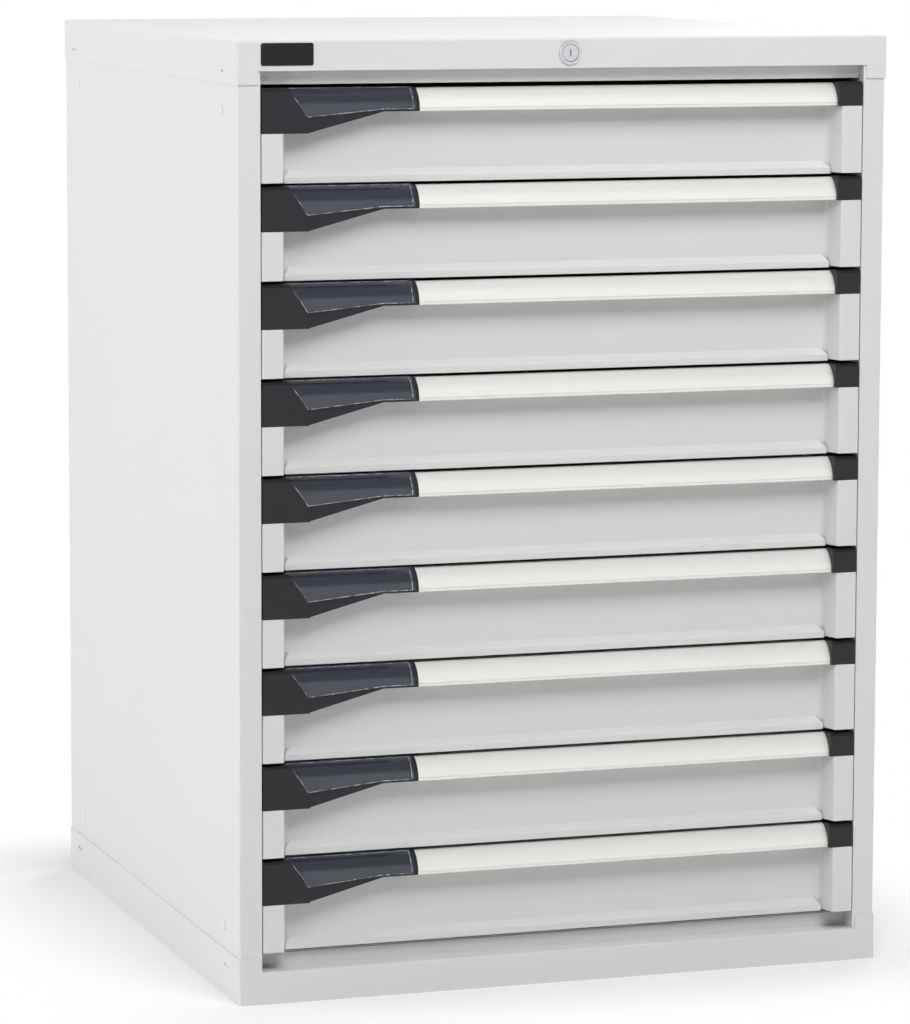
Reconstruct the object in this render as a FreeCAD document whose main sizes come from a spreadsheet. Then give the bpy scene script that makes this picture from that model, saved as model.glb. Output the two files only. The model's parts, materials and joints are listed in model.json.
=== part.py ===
import FreeCAD, Part
import math
import os
import Sketcher

# A steel cabinet with nine equal full-extension drawers, seen from the front: +X right, +Z up,
# the drawers open towards -Y. The origin is on the floor, in the middle of the footprint.
# Folded sheet housing, roller slides, extruded grips with moulded ends, and one central lock
# that lifts a comb behind the right-hand post. All lengths are in millimetres.

os.makedirs("parts", exist_ok=True)
doc = FreeCAD.newDocument("drawer_cabinet")

# ---------------------------------------------------------------- driving dimensions

SIZES = {
    # stack of drawers
    "drawer_count": 9,
    "drawer_pitch": 100.0,  # one drawer to the next
    "front_gap": 2.0,  # between two drawer fronts
    "stack_up": 53.0,  # floor to the first pitch line
    "head_room": 47.0,  # last pitch line to the top face
    # drawer tray
    "tray_width": 612.0,  # inside
    "tray_depth": 612.0,  # inside
    "tray_sheet": 1.0,
    "tray_rise": 9.0,  # pitch line to the underside of the tray
    "tray_head_gap": 8.0,  # tray rim to the next pitch line
    "overcut": 1.0,  # how far a cut runs past the metal
    # drawer front
    "front_sheet": 1.2,
    "side_gap": 1.0,  # front to post
    "column_width": 23.0,
    "flank_run": 6.5,  # how far the recess flank leans in
    "recess_depth": 25.0,
    "front_return": 20.0,
    "lip_height": 12.0,
    "lip_reach": 7.0,
    "lip_slit": 2.0,
    "top_flange": 12.0,
    "column_bend": 1.2,
    "cove_bend": 6.0,
    # grip: drops are measured down from the next pitch line, insets inwards from the post
    "grip_drop": 4.0,
    "grip_height": 23.5,
    "grip_setback": 4.3,  # front band behind the drawer front
    "grip_radius": 26.0,
    "grip_centre_back": 30.0,
    "grip_centre_drop": 27.6,
    "grip_wall": 2.0,
    "grip_left_inset": 171.6,
    "grip_right_inset": 28.5,
    "groove": 0.8,
    # grip ends and label window
    "cap_wall": 2.5,
    "cap_setback": 0.3,
    "cap_side_gap": 1.2,
    "cap_drop": 2.5,
    "cap_chamfer": 3.5,
    "notch_clearance": 0.5,  # cut in the drawer front, past the cove
    "right_cap_height": 25.5,
    "left_cap_height": 46.2,
    "left_cap_step_inset": 52.0,
    "left_cap_rise_inset": 133.0,
    "window_sheet": 1.2,
    "window_gap": 0.3,
    "window_side_gap": 0.8,
    "window_head_inset": 30.0,
    "window_foot_inset": 49.0,
    "window_foot_drop": 33.3,
    "window_kink_inset": 131.4,
    "window_kink_drop": 25.7,
    "window_right_inset": 167.0,
    # roller slides
    "slide_space": 26.0,  # tray wall to post
    "rail_sheet": 1.5,
    "rail_reach": 10.0,
    "rail_rise": 14.0,
    "channel": 21.0,  # clear height between the flanges
    "roller_clearance": 0.3,
    "roller_side_gap": 1.0,
    "plate_sheet": 2.0,
    "plate_height": 22.0,
    "carriage_length": 580.0,
    "carriage_setback": 6.0,
    "roller_end": 20.0,  # outermost roller axis to the end of the plate
    "roller_spacing": 220.0,
    "rail_seat": 16.0,  # length of rail against each post
    "hook_reach": 6.0,
    "hook_drop": 4.0,
    "hook_sheet": 2.0,
    "hook_gap": 0.3,
    "hook_play": 1.0,  # slot height left over as the hook goes in
    # housing
    "housing_sheet": 1.5,
    "post_width": 24.0,
    "post_depth": 40.0,
    "post_lip": 14.0,
    "slot_width": 5.0,
    "slot_height": 13.0,
    "slot_rise": 33.5,  # slot that holds a rail, above the pitch line
    "slot_inset": 7.0,  # slot centre from the end of the rail
    "rear_space": 82.8,  # behind the trays
    "bezel_proud": 2.0,
    "back_sheet": 1.0,
    "back_flange": 14.0,
    "cap_skirt": 46.0,
    "cap_fascia": 32.0,
    "fascia_return": 10.0,
    "tab_gap": 3.0,  # skirt tab stops this short of the opening
    "base_skirt": 49.0,
    "base_fascia": 34.0,
    "base_flange": 22.0,
    "deck_fold_inset": 6.0,
    "deck_side_gap": 0.5,
    "shelf_depth": 27.0,
    "riser_top": 48.0,
    "deck_ledge": 18.0,
    "housing_bend": 3.0,
    "fascia_bend": 1.2,
    "tie_slot_length": 20.0,
    "tie_slot_height": 2.0,
    "tie_slot_inset": 48.5,
    "tie_slot_up": 33.0,
    "plug_head": 10.5,
    "plug_head_height": 1.0,
    "hole_clearance": 0.1,
    "plug_inset": 60.0,
    "plug_up": 73.5,
    "anchor_hole": 11.0,
    "anchor_inset": 12.0,
    "anchor_spacing": 520.0,
    "plate_width": 56.0,
    "plate_tall": 23.0,
    "plate_corner": 1.5,
    "plate_thick": 0.8,
    "plate_inset": 28.1,
    "plate_drop": 15.0,
    # front cross rail
    "cross_setback": 14.0,
    "cross_depth": 20.0,
    "cross_foot": 1.0,
    # lock
    "lock_x": 1.0,
    "lock_drop": 16.0,
    "bezel_diameter": 24.7,
    "barrel_diameter": 22.0,
    "plug_diameter": 17.4,
    "lock_clearance": 0.3,
    "plug_recess": 0.7,
    "nut_radius": 14.0,
    "nut_thick": 4.0,
    "key_slot_height": 7.5,
    "key_slot_width": 1.8,
    "key_slot_depth": 6.0,
    "cam_sheet": 2.5,
    "crank_tail": 6.0,
    "crank_margin": 3.5,
    "crank_radius": 8.0,
    "crank_pin": 5.0,
    "link_play": 0.45,
    "rod_sheet": 2.0,
    "rod_height": 18.0,
    "rod_head": 27.0,
    "rod_margin": 3.5,
    "comb_gap": 2.8,  # behind the front posts
    "comb_sheet": 2.5,
    "comb_width": 12.0,
    "comb_inset": 2.0,
    "comb_foot": 75.0,
    "comb_pin_inset": 4.0,
    "comb_head": 16.0,
    "tooth_rise": 46.0,
    "tooth_height": 14.0,
    "tooth_reach": 23.0,
    "lug_rise": 64.0,
    "lug_height": 16.0,
    "lug_reach": 9.0,
    "lug_gap": 0.5,
    "lug_sheet": 2.5,
    "lug_foot": 14.0,
    "guide_play": 0.4,
    "guide_wall": 2.0,
    "guide_height": 10.0,
    "guide_rise": 82.0,
}

# Places that follow from the sizes above.
PLACES = {
    "opening": "size.tray_width / 2 + size.tray_sheet + size.slide_space",
    "side": "opening + size.post_width",
    "half_width": "side + size.housing_sheet",
    "half_depth": "(size.bezel_proud + size.recess_depth + size.front_sheet + size.tray_depth"
    " + 2 * size.tray_sheet + size.rear_space) / 2",
    "stack_top": "size.stack_up + size.drawer_count * size.drawer_pitch",
    "top": "stack_top + size.head_room",
    "front": "-half_depth + size.bezel_proud",
    "post_front": "front + size.housing_sheet",
    "post_back": "post_front + size.post_depth",
    "rear": "half_depth - size.housing_sheet",
    "rear_post": "rear - size.post_depth",
    "cap_under": "top - size.housing_sheet",
    "cap_foot": "top - size.cap_skirt",
    "fascia_foot": "top - size.cap_fascia",
    "tab_inner": "opening + size.tab_gap",
    "front_side": "opening - size.side_gap",
    "column_inner": "front_side - size.column_width",
    "panel_side": "column_inner - size.flank_run",
    "panel": "front + size.recess_depth",
    "flank_shift": "size.front_sheet * (sqrt(size.flank_run ^ 2 + size.recess_depth ^ 2)"
    " - size.flank_run) / size.recess_depth",
    "front_foot": "size.stack_up + size.front_gap / 2",
    "next_line": "size.stack_up + size.drawer_pitch",
    "front_head": "next_line - size.front_gap / 2",
    "notch_side": "panel_side - size.cove_bend - size.notch_clearance",
    "grip_head": "next_line - size.grip_drop",
    "grip_foot": "grip_head - size.grip_height",
    "grip_centre_up": "next_line - size.grip_centre_drop",
    "grip_left": "opening - size.grip_left_inset",
    "grip_right": "opening - size.grip_right_inset",
    "cap_head": "next_line - size.cap_drop",
    "right_cap_foot": "cap_head - size.right_cap_height",
    "left_cap_foot": "cap_head - size.left_cap_height",
    "left_cap_step": "opening - size.left_cap_step_inset",
    "left_cap_rise": "opening - size.left_cap_rise_inset",
    "window_head_side": "opening - size.window_head_inset",
    "window_foot_side": "opening - size.window_foot_inset",
    "window_foot": "next_line - size.window_foot_drop",
    "window_kink": "opening - size.window_kink_inset",
    "window_kink_up": "next_line - size.window_kink_drop",
    "window_right": "opening - size.window_right_inset",
    "tray_front": "panel + size.front_sheet",
    "tray_back": "tray_front + size.tray_depth + 2 * size.tray_sheet",
    "tray_side": "size.tray_width / 2 + size.tray_sheet",
    "tray_foot": "size.stack_up + size.tray_rise",
    "tray_head": "next_line - size.tray_head_gap",
    "rail_foot": "size.stack_up + size.rail_rise",
    "rail_height": "size.channel + 2 * size.rail_sheet",
    "roller_up": "rail_foot + rail_height / 2",
    "roller_radius": "size.channel / 2 - size.roller_clearance",
    "plate_inner": "opening - size.slide_space / 2 - size.plate_sheet / 2",
    "plate_outer": "plate_inner + size.plate_sheet",
    "roller_width": "(size.slide_space - size.plate_sheet) / 2 - size.rail_sheet"
    " - size.roller_side_gap",
    "rail_front": "post_back - size.rail_seat",
    "rail_back": "rear_post + size.rail_seat",
    "slot_front": "rail_front + size.slot_inset",
    "slot_back": "rail_back - size.slot_inset",
    "slot_up": "size.stack_up + size.slot_rise",
    "stack_run": "(size.drawer_count - 1) * size.drawer_pitch",
    "carriage_front": "tray_front + size.carriage_setback",
    "lock_up": "top - size.lock_drop",
    "comb_front": "post_back + size.comb_gap",
    "comb_rear": "comb_front + size.comb_sheet",
    "rod_rear": "comb_front - size.guide_play",
    "rod_front": "rod_rear - size.rod_sheet",
    "cam_rear": "rod_front - size.guide_play",
    "cam_front": "cam_rear - size.cam_sheet",
    "barrel_length": "cam_front - size.guide_play - front",
    "comb_inner": "opening + size.comb_inset",
    "comb_outer": "comb_inner + size.comb_width",
    "crank_offset": "size.crank_radius * sqrt(0.5)",
    "lift": "2 * crank_offset",
    "link_width": "size.crank_pin + 2 * size.link_play",
    "rod_up": "lock_up - (size.crank_radius + crank_offset) / 2",
    "comb_pin_up": "rod_up - lift / 2",
    "comb_pin": "opening + size.comb_pin_inset",
    "comb_head_up": "comb_pin_up + size.comb_head / 2",
    "deck": "size.riser_top + size.housing_sheet",
}


def fill_sheet(name, cells):
    sheet = doc.addObject("Spreadsheet::Sheet", name)
    for row, (alias, value) in enumerate(cells.items(), start=1):
        sheet.set(f"A{row}", alias)
        sheet.set(f"B{row}", value)
        sheet.setAlias(f"B{row}", alias)
    return sheet


size = fill_sheet("size", {alias: str(value) for alias, value in SIZES.items()})
at = fill_sheet("at", {alias: "=" + formula for alias, formula in PLACES.items()})
doc.recompute()

# ---------------------------------------------------------------- how pieces are drawn


def new_body(label):
    body = doc.addObject("PartDesign::Body", label)
    body.Label = label
    return body


def new_sketch(body, plane, offset="0"):
    """A sketch on one of the body's origin planes, moved along its normal by an expression."""
    sketch = body.newObject("Sketcher::SketchObject", "sketch")
    origin_plane = next(f for f in body.Origin.OriginFeatures if f.Role == plane)
    sketch.AttachmentSupport = [(origin_plane, "")]
    sketch.MapMode = "FlatFace"
    sketch.setExpression(".AttachmentOffset.Base.z", offset)
    return sketch


def pin_point(sketch, geometry, end, point):
    """Ties one end of a line or arc to a pair of expressions."""
    for kind, expression in zip(("DistanceX", "DistanceY"), point):
        value = sketch.evalExpression(expression)
        index = sketch.addConstraint(Sketcher.Constraint(kind, -1, 1, geometry, end, float(value)))
        sketch.setExpression(f"Constraints[{index}]", expression)


def outline(sketch, points, arcs=None):
    """A closed outline through points given as expression pairs.

    arcs maps the number of a side to (radius expression, +1 or -1): that side is an arc whose
    middle bulges to the left (+1) or right (-1) of the way from its start to its end.
    """
    arcs = arcs or {}
    places = [FreeCAD.Vector(*(float(sketch.evalExpression(e)) for e in p), 0) for p in points]
    sides = []
    for number, start in enumerate(places):
        end = places[(number + 1) % len(places)]
        if number in arcs:
            expression, bulge = arcs[number]
            radius = float(sketch.evalExpression(expression))
            chord = end - start
            left = FreeCAD.Vector(-chord.y, chord.x, 0).normalize()
            sagitta = radius - math.sqrt(radius**2 - (chord.Length / 2) ** 2)
            middle = (start + end) / 2 + left * bulge * sagitta
            sides.append(sketch.addGeometry(Part.Arc(start, middle, end)))
        else:
            sides.append(sketch.addGeometry(Part.LineSegment(start, end)))
    for number, side in enumerate(sides):
        following = sides[(number + 1) % len(sides)]
        first, second = end_towards(sketch, side, places[(number + 1) % len(places)]), end_towards(
            sketch, following, places[(number + 1) % len(places)]
        )
        sketch.addConstraint(Sketcher.Constraint("Coincident", side, first, following, second))
    for number, point in enumerate(points):
        pin_point(sketch, sides[number], end_towards(sketch, sides[number], places[number]), point)
    for number, (expression, _) in arcs.items():
        radius = float(sketch.evalExpression(expression))
        index = sketch.addConstraint(Sketcher.Constraint("Radius", sides[number], radius))
        sketch.setExpression(f"Constraints[{index}]", expression)
    return sketch


def end_towards(sketch, geometry, place):
    """1 for the start point or 2 for the end point, whichever lies at the place."""
    start = sketch.getPoint(geometry, 1)
    end = sketch.getPoint(geometry, 2)
    return 1 if start.distanceToPoint(place) < end.distanceToPoint(place) else 2


def circle(sketch, centre, radius):
    place = FreeCAD.Vector(*(float(sketch.evalExpression(e)) for e in centre), 0)
    value = float(sketch.evalExpression(radius))
    normal = FreeCAD.Vector(0, 0, 1)
    geometry = sketch.addGeometry(Part.Circle(place, normal, value))
    pin_point(sketch, geometry, 3, centre)
    index = sketch.addConstraint(Sketcher.Constraint("Radius", geometry, value))
    sketch.setExpression(f"Constraints[{index}]", radius)
    return sketch


def polygon(sketch, centre, radius, sides):
    """A regular outline with a corner straight above its centre, for rounds that repeat."""
    corners = [
        (
            f"{centre[0]} + ({radius}) * cos({90 + 360 * number / sides} deg)",
            f"{centre[1]} + ({radius}) * sin({90 + 360 * number / sides} deg)",
        )
        for number in range(sides)
    ]
    return outline(sketch, corners)


def rectangle(sketch, low, high):
    return outline(sketch, [low, (high[0], low[1]), high, (low[0], high[1])])


def extrude(body, kind, sketch, length, reverse=False):
    feature = body.newObject(kind, "feature")
    feature.Profile = sketch
    feature.setExpression("Length", length)
    feature.Reversed = reverse
    body.Tip = feature
    return feature


def pad(body, sketch, length, reverse=False):
    return extrude(body, "PartDesign::Pad", sketch, length, reverse)


def pocket(body, sketch, length, reverse=False):
    return extrude(body, "PartDesign::Pocket", sketch, length, reverse)


def repeat_upwards(body, feature, length, count):
    """Copies a feature along +Z."""
    pattern = body.newObject("PartDesign::LinearPattern", "pattern")
    pattern.Originals = [feature]
    axis = next(f for f in body.Origin.OriginFeatures if f.Role == "Z_Axis")
    pattern.Direction = (axis, [""])
    pattern.setExpression("Length", length)
    pattern.setExpression("Occurrences", count)
    body.Tip = pattern
    return pattern


def dress(body, kind, size_name, amount, wanted):
    """A fillet or chamfer on the edges of the tip whose middle and direction are wanted."""
    doc.recompute()
    base = body.Tip
    names = []
    for number, edge in enumerate(base.Shape.Edges, start=1):
        if len(edge.Vertexes) == 2 and edge.Curve.TypeId == "Part::GeomLine":
            if wanted(edge.CenterOfMass, edge.tangentAt(edge.FirstParameter)):
                names.append(f"Edge{number}")
    feature = body.newObject(kind, "bend")
    feature.Base = (base, names)
    feature.setExpression(size_name, amount)
    body.Tip = feature
    return feature


def fillet(body, radius, wanted):
    return dress(body, "PartDesign::Fillet", "Radius", radius, wanted)


def chamfer(body, width, wanted):
    return dress(body, "PartDesign::Chamfer", "Size", width, wanted)


def group(label, members):
    """Several solids that make one piece of the assembly."""
    compound = doc.addObject("Part::Compound", label)
    compound.Label = label
    compound.Links = members
    return compound


def value(alias):
    return float(getattr(at, alias) if alias in PLACES else getattr(size, alias))


def near(a, b):
    return abs(a - b) < 0.01


NODES = []
ROUND_SIDES = 8  # of the small rounds that repeat
BARREL_SIDES = 16


def node(label, thing):
    thing.Label = label
    NODES.append(thing)
    return thing


def mirrored(half):
    """Points of one side, then the same points on the other side in reverse."""
    return half + [(f"-({x})", y) for x, y in reversed(half)]


# ---------------------------------------------------------------- housing

# Side panels: one folded sheet each. The front and rear edges are folded into box posts, whose
# inner faces carry a column of slots for the rails.


def side_panel(label, sign):
    def x(expression):
        return f"{sign} * ({expression})"

    sheet = "size.housing_sheet"
    lip = "at.opening + size.post_lip"
    body = new_body(label)
    plan = new_sketch(body, "XY_Plane", sheet)
    fold = [
        (lip, "at.post_back"),
        ("at.opening", "at.post_back"),
        ("at.opening", "at.post_front"),
        ("at.side", "at.post_front"),
        ("at.side", "at.rear"),
        ("at.opening", "at.rear"),
        ("at.opening", "at.rear_post"),
        (lip, "at.rear_post"),
        (lip, f"at.rear_post + {sheet}"),
        (f"at.opening + {sheet}", f"at.rear_post + {sheet}"),
        (f"at.opening + {sheet}", f"at.rear - {sheet}"),
        (f"at.side - {sheet}", f"at.rear - {sheet}"),
        (f"at.side - {sheet}", f"at.post_front + {sheet}"),
        (f"at.opening + {sheet}", f"at.post_front + {sheet}"),
        (f"at.opening + {sheet}", f"at.post_back - {sheet}"),
        (lip, f"at.post_back - {sheet}"),
    ]
    outline(plan, [(x(across), along) for across, along in fold])
    pad(body, plan, f"at.cap_under - {sheet}")

    outer = value("side")
    fillet(
        body,
        "size.housing_bend - size.housing_sheet",
        lambda middle, way: near(abs(middle.x), outer)
        and abs(way.z) > 0.9
        and near(middle.y, value("post_front")),
    )

    slots = new_sketch(body, "YZ_Plane", x("at.opening"))
    for along in ("at.slot_front", "at.slot_back"):
        low = (f"{along} - size.slot_width / 2", "at.slot_up - size.slot_height / 2")
        high = (f"{along} + size.slot_width / 2", "at.slot_up + size.slot_height / 2")
        rectangle(slots, low, high)
    cut = pocket(body, slots, f"2 * {sheet}", reverse=sign > 0)
    repeat_upwards(body, cut, "at.stack_run", "size.drawer_count")
    return body


node("side_panel_left", side_panel("side_panel_left", -1))
node("side_panel_right", side_panel("side_panel_right", 1))


# Back panel: a flat sheet with two flanges that lie against the rear posts.


def back_panel():
    sheet = "size.back_sheet"
    body = new_body("back_panel")
    plan = new_sketch(body, "XY_Plane", "size.housing_sheet")
    outer = [("at.opening", "at.rear - size.back_flange"), ("at.opening", "at.rear")]
    inner = [
        (f"at.opening - {sheet}", f"at.rear - {sheet}"),
        (f"at.opening - {sheet}", "at.rear - size.back_flange"),
    ]
    left_inner = [(f"-({across})", along) for across, along in reversed(inner)]
    outline(plan, mirrored(outer) + left_inner + inner)
    pad(body, plan, "at.cap_under - size.housing_sheet")
    return body


node("back_panel", back_panel())


def upright(way):
    return abs(way.z) > 0.9


def skirt_corner(middle, way):
    return (
        upright(way)
        and near(abs(middle.x), value("half_width"))
        and (near(middle.y, value("front")) or near(middle.y, value("half_depth")))
    )


def tie_slots(body, up):
    """Pairs of narrow slots in both side skirts, where the panel tongues hook in."""
    for sign in (-1, 1):
        slots = new_sketch(body, "YZ_Plane", f"{sign} * at.half_width")
        for middle in ("at.front + size.tie_slot_inset", "at.half_depth - size.tie_slot_inset"):
            low = (f"{middle} - size.tie_slot_length / 2", f"{up} - size.tie_slot_height / 2")
            high = (f"{middle} + size.tie_slot_length / 2", f"{up} + size.tie_slot_height / 2")
            rectangle(slots, low, high)
        pocket(body, slots, "size.housing_sheet", reverse=sign < 0)


# Top cover: a shallow folded lid. Its skirt laps over the side panels and posts, and between the
# posts a shorter fascia carries the lock.


def top_cover():
    sheet = "size.housing_sheet"
    body = new_body("top_cover")
    low, high = ("-at.half_width", "at.front"), ("at.half_width", "at.half_depth")
    pad(body, rectangle(new_sketch(body, "XY_Plane", "at.cap_foot"), low, high), "size.cap_skirt")
    fillet(
        body,
        "size.housing_bend",
        lambda middle, way: near(middle.z, value("top")) and near(way.z, 0),
    )
    hollow = new_sketch(body, "XY_Plane", "at.cap_under")
    rectangle(hollow, ("-at.side", "at.post_front"), ("at.side", "at.rear"))
    pocket(body, hollow, "size.cap_skirt")

    gap = new_sketch(body, "XZ_Plane", "-at.front")
    rectangle(gap, ("-at.tab_inner", "at.cap_foot"), ("at.tab_inner", "at.fascia_foot"))
    pocket(body, gap, sheet)

    fold = new_sketch(body, "XY_Plane", "at.fascia_foot")
    rectangle(
        fold,
        ("-at.opening", "at.front"),
        ("at.opening", "at.post_front + size.fascia_return"),
    )
    pad(body, fold, sheet)

    hole = new_sketch(body, "XZ_Plane", "-at.front")
    circle(hole, ("size.lock_x", "at.lock_up"), "size.barrel_diameter / 2 + size.hole_clearance")
    pocket(body, hole, sheet)
    tie_slots(body, "at.top - size.tie_slot_up")
    return body


node("top_cover", top_cover())


# Base frame: a skirt with a floor flange all round. At the front it folds back into a shelf and a
# riser, which close the housing below the lowest drawer.


def base_frame():
    sheet = "size.housing_sheet"
    body = new_body("base_frame")
    low, high = ("-at.half_width", "at.front"), ("at.half_width", "at.half_depth")
    pad(body, rectangle(new_sketch(body, "XY_Plane"), low, high), "size.base_skirt")
    fillet(body, "size.housing_bend", skirt_corner)

    hollow = new_sketch(body, "XY_Plane", sheet)
    rectangle(hollow, ("-at.side", "at.post_front"), ("at.side", "at.rear"))
    pocket(body, hollow, "size.base_skirt", reverse=True)

    flange = "size.base_flange"
    opening = new_sketch(body, "XY_Plane", sheet)
    rectangle(
        opening,
        (f"-at.half_width + {flange}", f"at.front + {flange}"),
        (f"at.half_width - {flange}", f"at.half_depth - {flange}"),
    )
    pocket(body, opening, sheet)

    gap = new_sketch(body, "XZ_Plane", "-at.front")
    rectangle(gap, ("-at.tab_inner", "size.base_fascia"), ("at.tab_inner", "size.base_skirt"))
    pocket(body, gap, sheet)

    shelf_back = "at.front + size.shelf_depth"
    shelf = new_sketch(body, "YZ_Plane", "-at.opening")
    outline(
        shelf,
        [
            ("at.front", f"size.base_fascia - {sheet}"),
            (shelf_back, f"size.base_fascia - {sheet}"),
            (shelf_back, f"size.riser_top - {sheet}"),
            (f"{shelf_back} + size.deck_ledge", f"size.riser_top - {sheet}"),
            (f"{shelf_back} + size.deck_ledge", "size.riser_top"),
            (f"{shelf_back} - {sheet}", "size.riser_top"),
            (f"{shelf_back} - {sheet}", "size.base_fascia"),
            ("at.front", "size.base_fascia"),
        ],
    )
    pad(body, shelf, "2 * at.opening")
    fillet(
        body,
        "size.fascia_bend",
        lambda middle, way: near(middle.y, value("front")) and near(middle.z, value("base_fascia")),
    )

    anchors = new_sketch(body, "XY_Plane", sheet)
    for across in (-1, 1):
        for along in (-1, 1):
            centre = (
                f"{across} * (at.half_width - size.anchor_inset)",
                f"{along} * size.anchor_spacing / 2",
            )
            circle(anchors, centre, "size.anchor_hole / 2")
    pocket(body, anchors, sheet)
    tie_slots(body, "size.tie_slot_up")
    return body


node("base_frame", base_frame())


# Deck: the floor of the housing. It lies on the ledge behind the riser, and its folded rear edge
# stands on the floor flange of the base.


def deck():
    sheet = "size.housing_sheet"
    body = new_body("floor_deck")
    front_edge = "at.front + size.shelf_depth"
    rear_edge = f"at.half_depth - size.base_flange + size.deck_fold_inset"
    side = new_sketch(body, "YZ_Plane", "-at.opening + size.deck_side_gap")
    outline(
        side,
        [
            (front_edge, "size.riser_top"),
            (f"{rear_edge} - {sheet}", "size.riser_top"),
            (f"{rear_edge} - {sheet}", sheet),
            (rear_edge, sheet),
            (rear_edge, "at.deck"),
            (front_edge, "at.deck"),
        ],
    )
    pad(body, side, "2 * (at.opening - size.deck_side_gap)")
    return body


node("floor_deck", deck())


# Front cross rail: a channel between the front posts, behind the fascia.


def cross_rail():
    sheet = "size.housing_sheet"
    web = "at.front + size.cross_setback"
    back = f"{web} + size.cross_depth"
    foot, head = "at.stack_top + size.cross_foot", "at.cap_under"
    body = new_body("front_cross_rail")
    side = new_sketch(body, "YZ_Plane", "-at.opening")
    outline(
        side,
        [
            (web, foot),
            (back, foot),
            (back, f"{foot} + {sheet}"),
            (f"{web} + {sheet}", f"{foot} + {sheet}"),
            (f"{web} + {sheet}", f"{head} - {sheet}"),
            (back, f"{head} - {sheet}"),
            (back, head),
            (web, head),
        ],
    )
    pad(body, side, "2 * at.opening")
    hole = new_sketch(body, "XZ_Plane", f"-({web})")
    circle(hole, ("size.lock_x", "at.lock_up"), "size.barrel_diameter / 2 + size.hole_clearance")
    pocket(body, hole, sheet)
    return body


node("front_cross_rail", cross_rail())


# Plugs that cover the bolts in the side panels.


def side_plugs():
    plugs = []
    for sign in (-1, 1):
        for along in ("at.post_front + size.plug_inset", "at.rear - size.plug_inset"):
            for up in ("size.plug_up", "at.top - size.plug_up"):
                body = new_body("side_plug")
                head = new_sketch(body, "YZ_Plane", f"{sign} * at.side")
                polygon(head, (along, up), "size.plug_head / 2", ROUND_SIDES)
                pad(body, head, "size.plug_head_height", reverse=sign < 0)
                plugs.append(body)
    return group("side_plugs", plugs)


node("side_plugs", side_plugs())


# A small bare plate on the fascia.


def name_plate():
    body = new_body("name_plate")
    middle, up = "-(at.opening - size.plate_inset)", "at.top - size.plate_drop"
    face = new_sketch(body, "XZ_Plane", "-at.front")
    rectangle(
        face,
        (f"{middle} - size.plate_width / 2", f"{up} - size.plate_tall / 2"),
        (f"{middle} + size.plate_width / 2", f"{up} + size.plate_tall / 2"),
    )
    pad(body, face, "size.plate_thick")
    chamfer(body, "size.plate_corner", lambda place, way: abs(way.y) > 0.9)
    return body


node("name_plate", name_plate())


# Cabinet rails: a channel on each side of every drawer, hooked into the slots of the posts.


def cabinet_rails():
    sheet = "size.rail_sheet"
    web = f"at.opening - {sheet}"
    reach = "at.opening - size.rail_reach"
    head = "at.rail_foot + at.rail_height"
    body = new_body("cabinet_rails_right")
    body.AllowCompound = True
    section = new_sketch(body, "XZ_Plane", "-at.rail_front")
    outline(
        section,
        [
            (reach, "at.rail_foot"),
            ("at.opening", "at.rail_foot"),
            ("at.opening", head),
            (reach, head),
            (reach, f"{head} - {sheet}"),
            (web, f"{head} - {sheet}"),
            (web, f"at.rail_foot + {sheet}"),
            (reach, f"at.rail_foot + {sheet}"),
        ],
    )
    features = [pad(body, section, "at.rail_back - at.rail_front", reverse=True)]

    neck = "at.slot_up - size.slot_height / 2"
    hook_head = "at.slot_up + size.slot_height / 2 - size.hook_drop - size.hook_play"
    nose = "at.opening + size.housing_sheet + size.hook_gap"
    outer = "at.opening + size.hook_reach"
    for slot in ("at.slot_front", "at.slot_back"):
        hook = new_sketch(body, "XZ_Plane", f"-({slot} - size.hook_sheet / 2)")
        outline(
            hook,
            [
                (web, neck),
                (nose, neck),
                (nose, f"{neck} - size.hook_drop"),
                (outer, f"{neck} - size.hook_drop"),
                (outer, hook_head),
                (web, hook_head),
            ],
        )
        features.append(pad(body, hook, "size.hook_sheet", reverse=True))

    doc.recompute()
    pattern = body.newObject("PartDesign::LinearPattern", "pattern")
    pattern.Originals = features
    axis = next(f for f in body.Origin.OriginFeatures if f.Role == "Z_Axis")
    pattern.Direction = (axis, [""])
    pattern.setExpression("Length", "at.stack_run")
    pattern.setExpression("Occurrences", "size.drawer_count")
    body.Tip = pattern
    return body


def both_sides(label, body):
    """A piece for the right-hand side and its mirror image for the left."""
    other = doc.addObject("Part::Mirroring", label + "_left")
    other.Source = body
    other.Normal = FreeCAD.Vector(1, 0, 0)
    return group(label, [body, other])


node("cabinet_rails", both_sides("cabinet_rails", cabinet_rails()))


# ---------------------------------------------------------------- drawers

# Drawer front: a folded sheet with a flush column at each end and a recessed panel between them.
# The corners are notched for the grip's moulded ends, and the panel's foot turns out into a lip.


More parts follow.
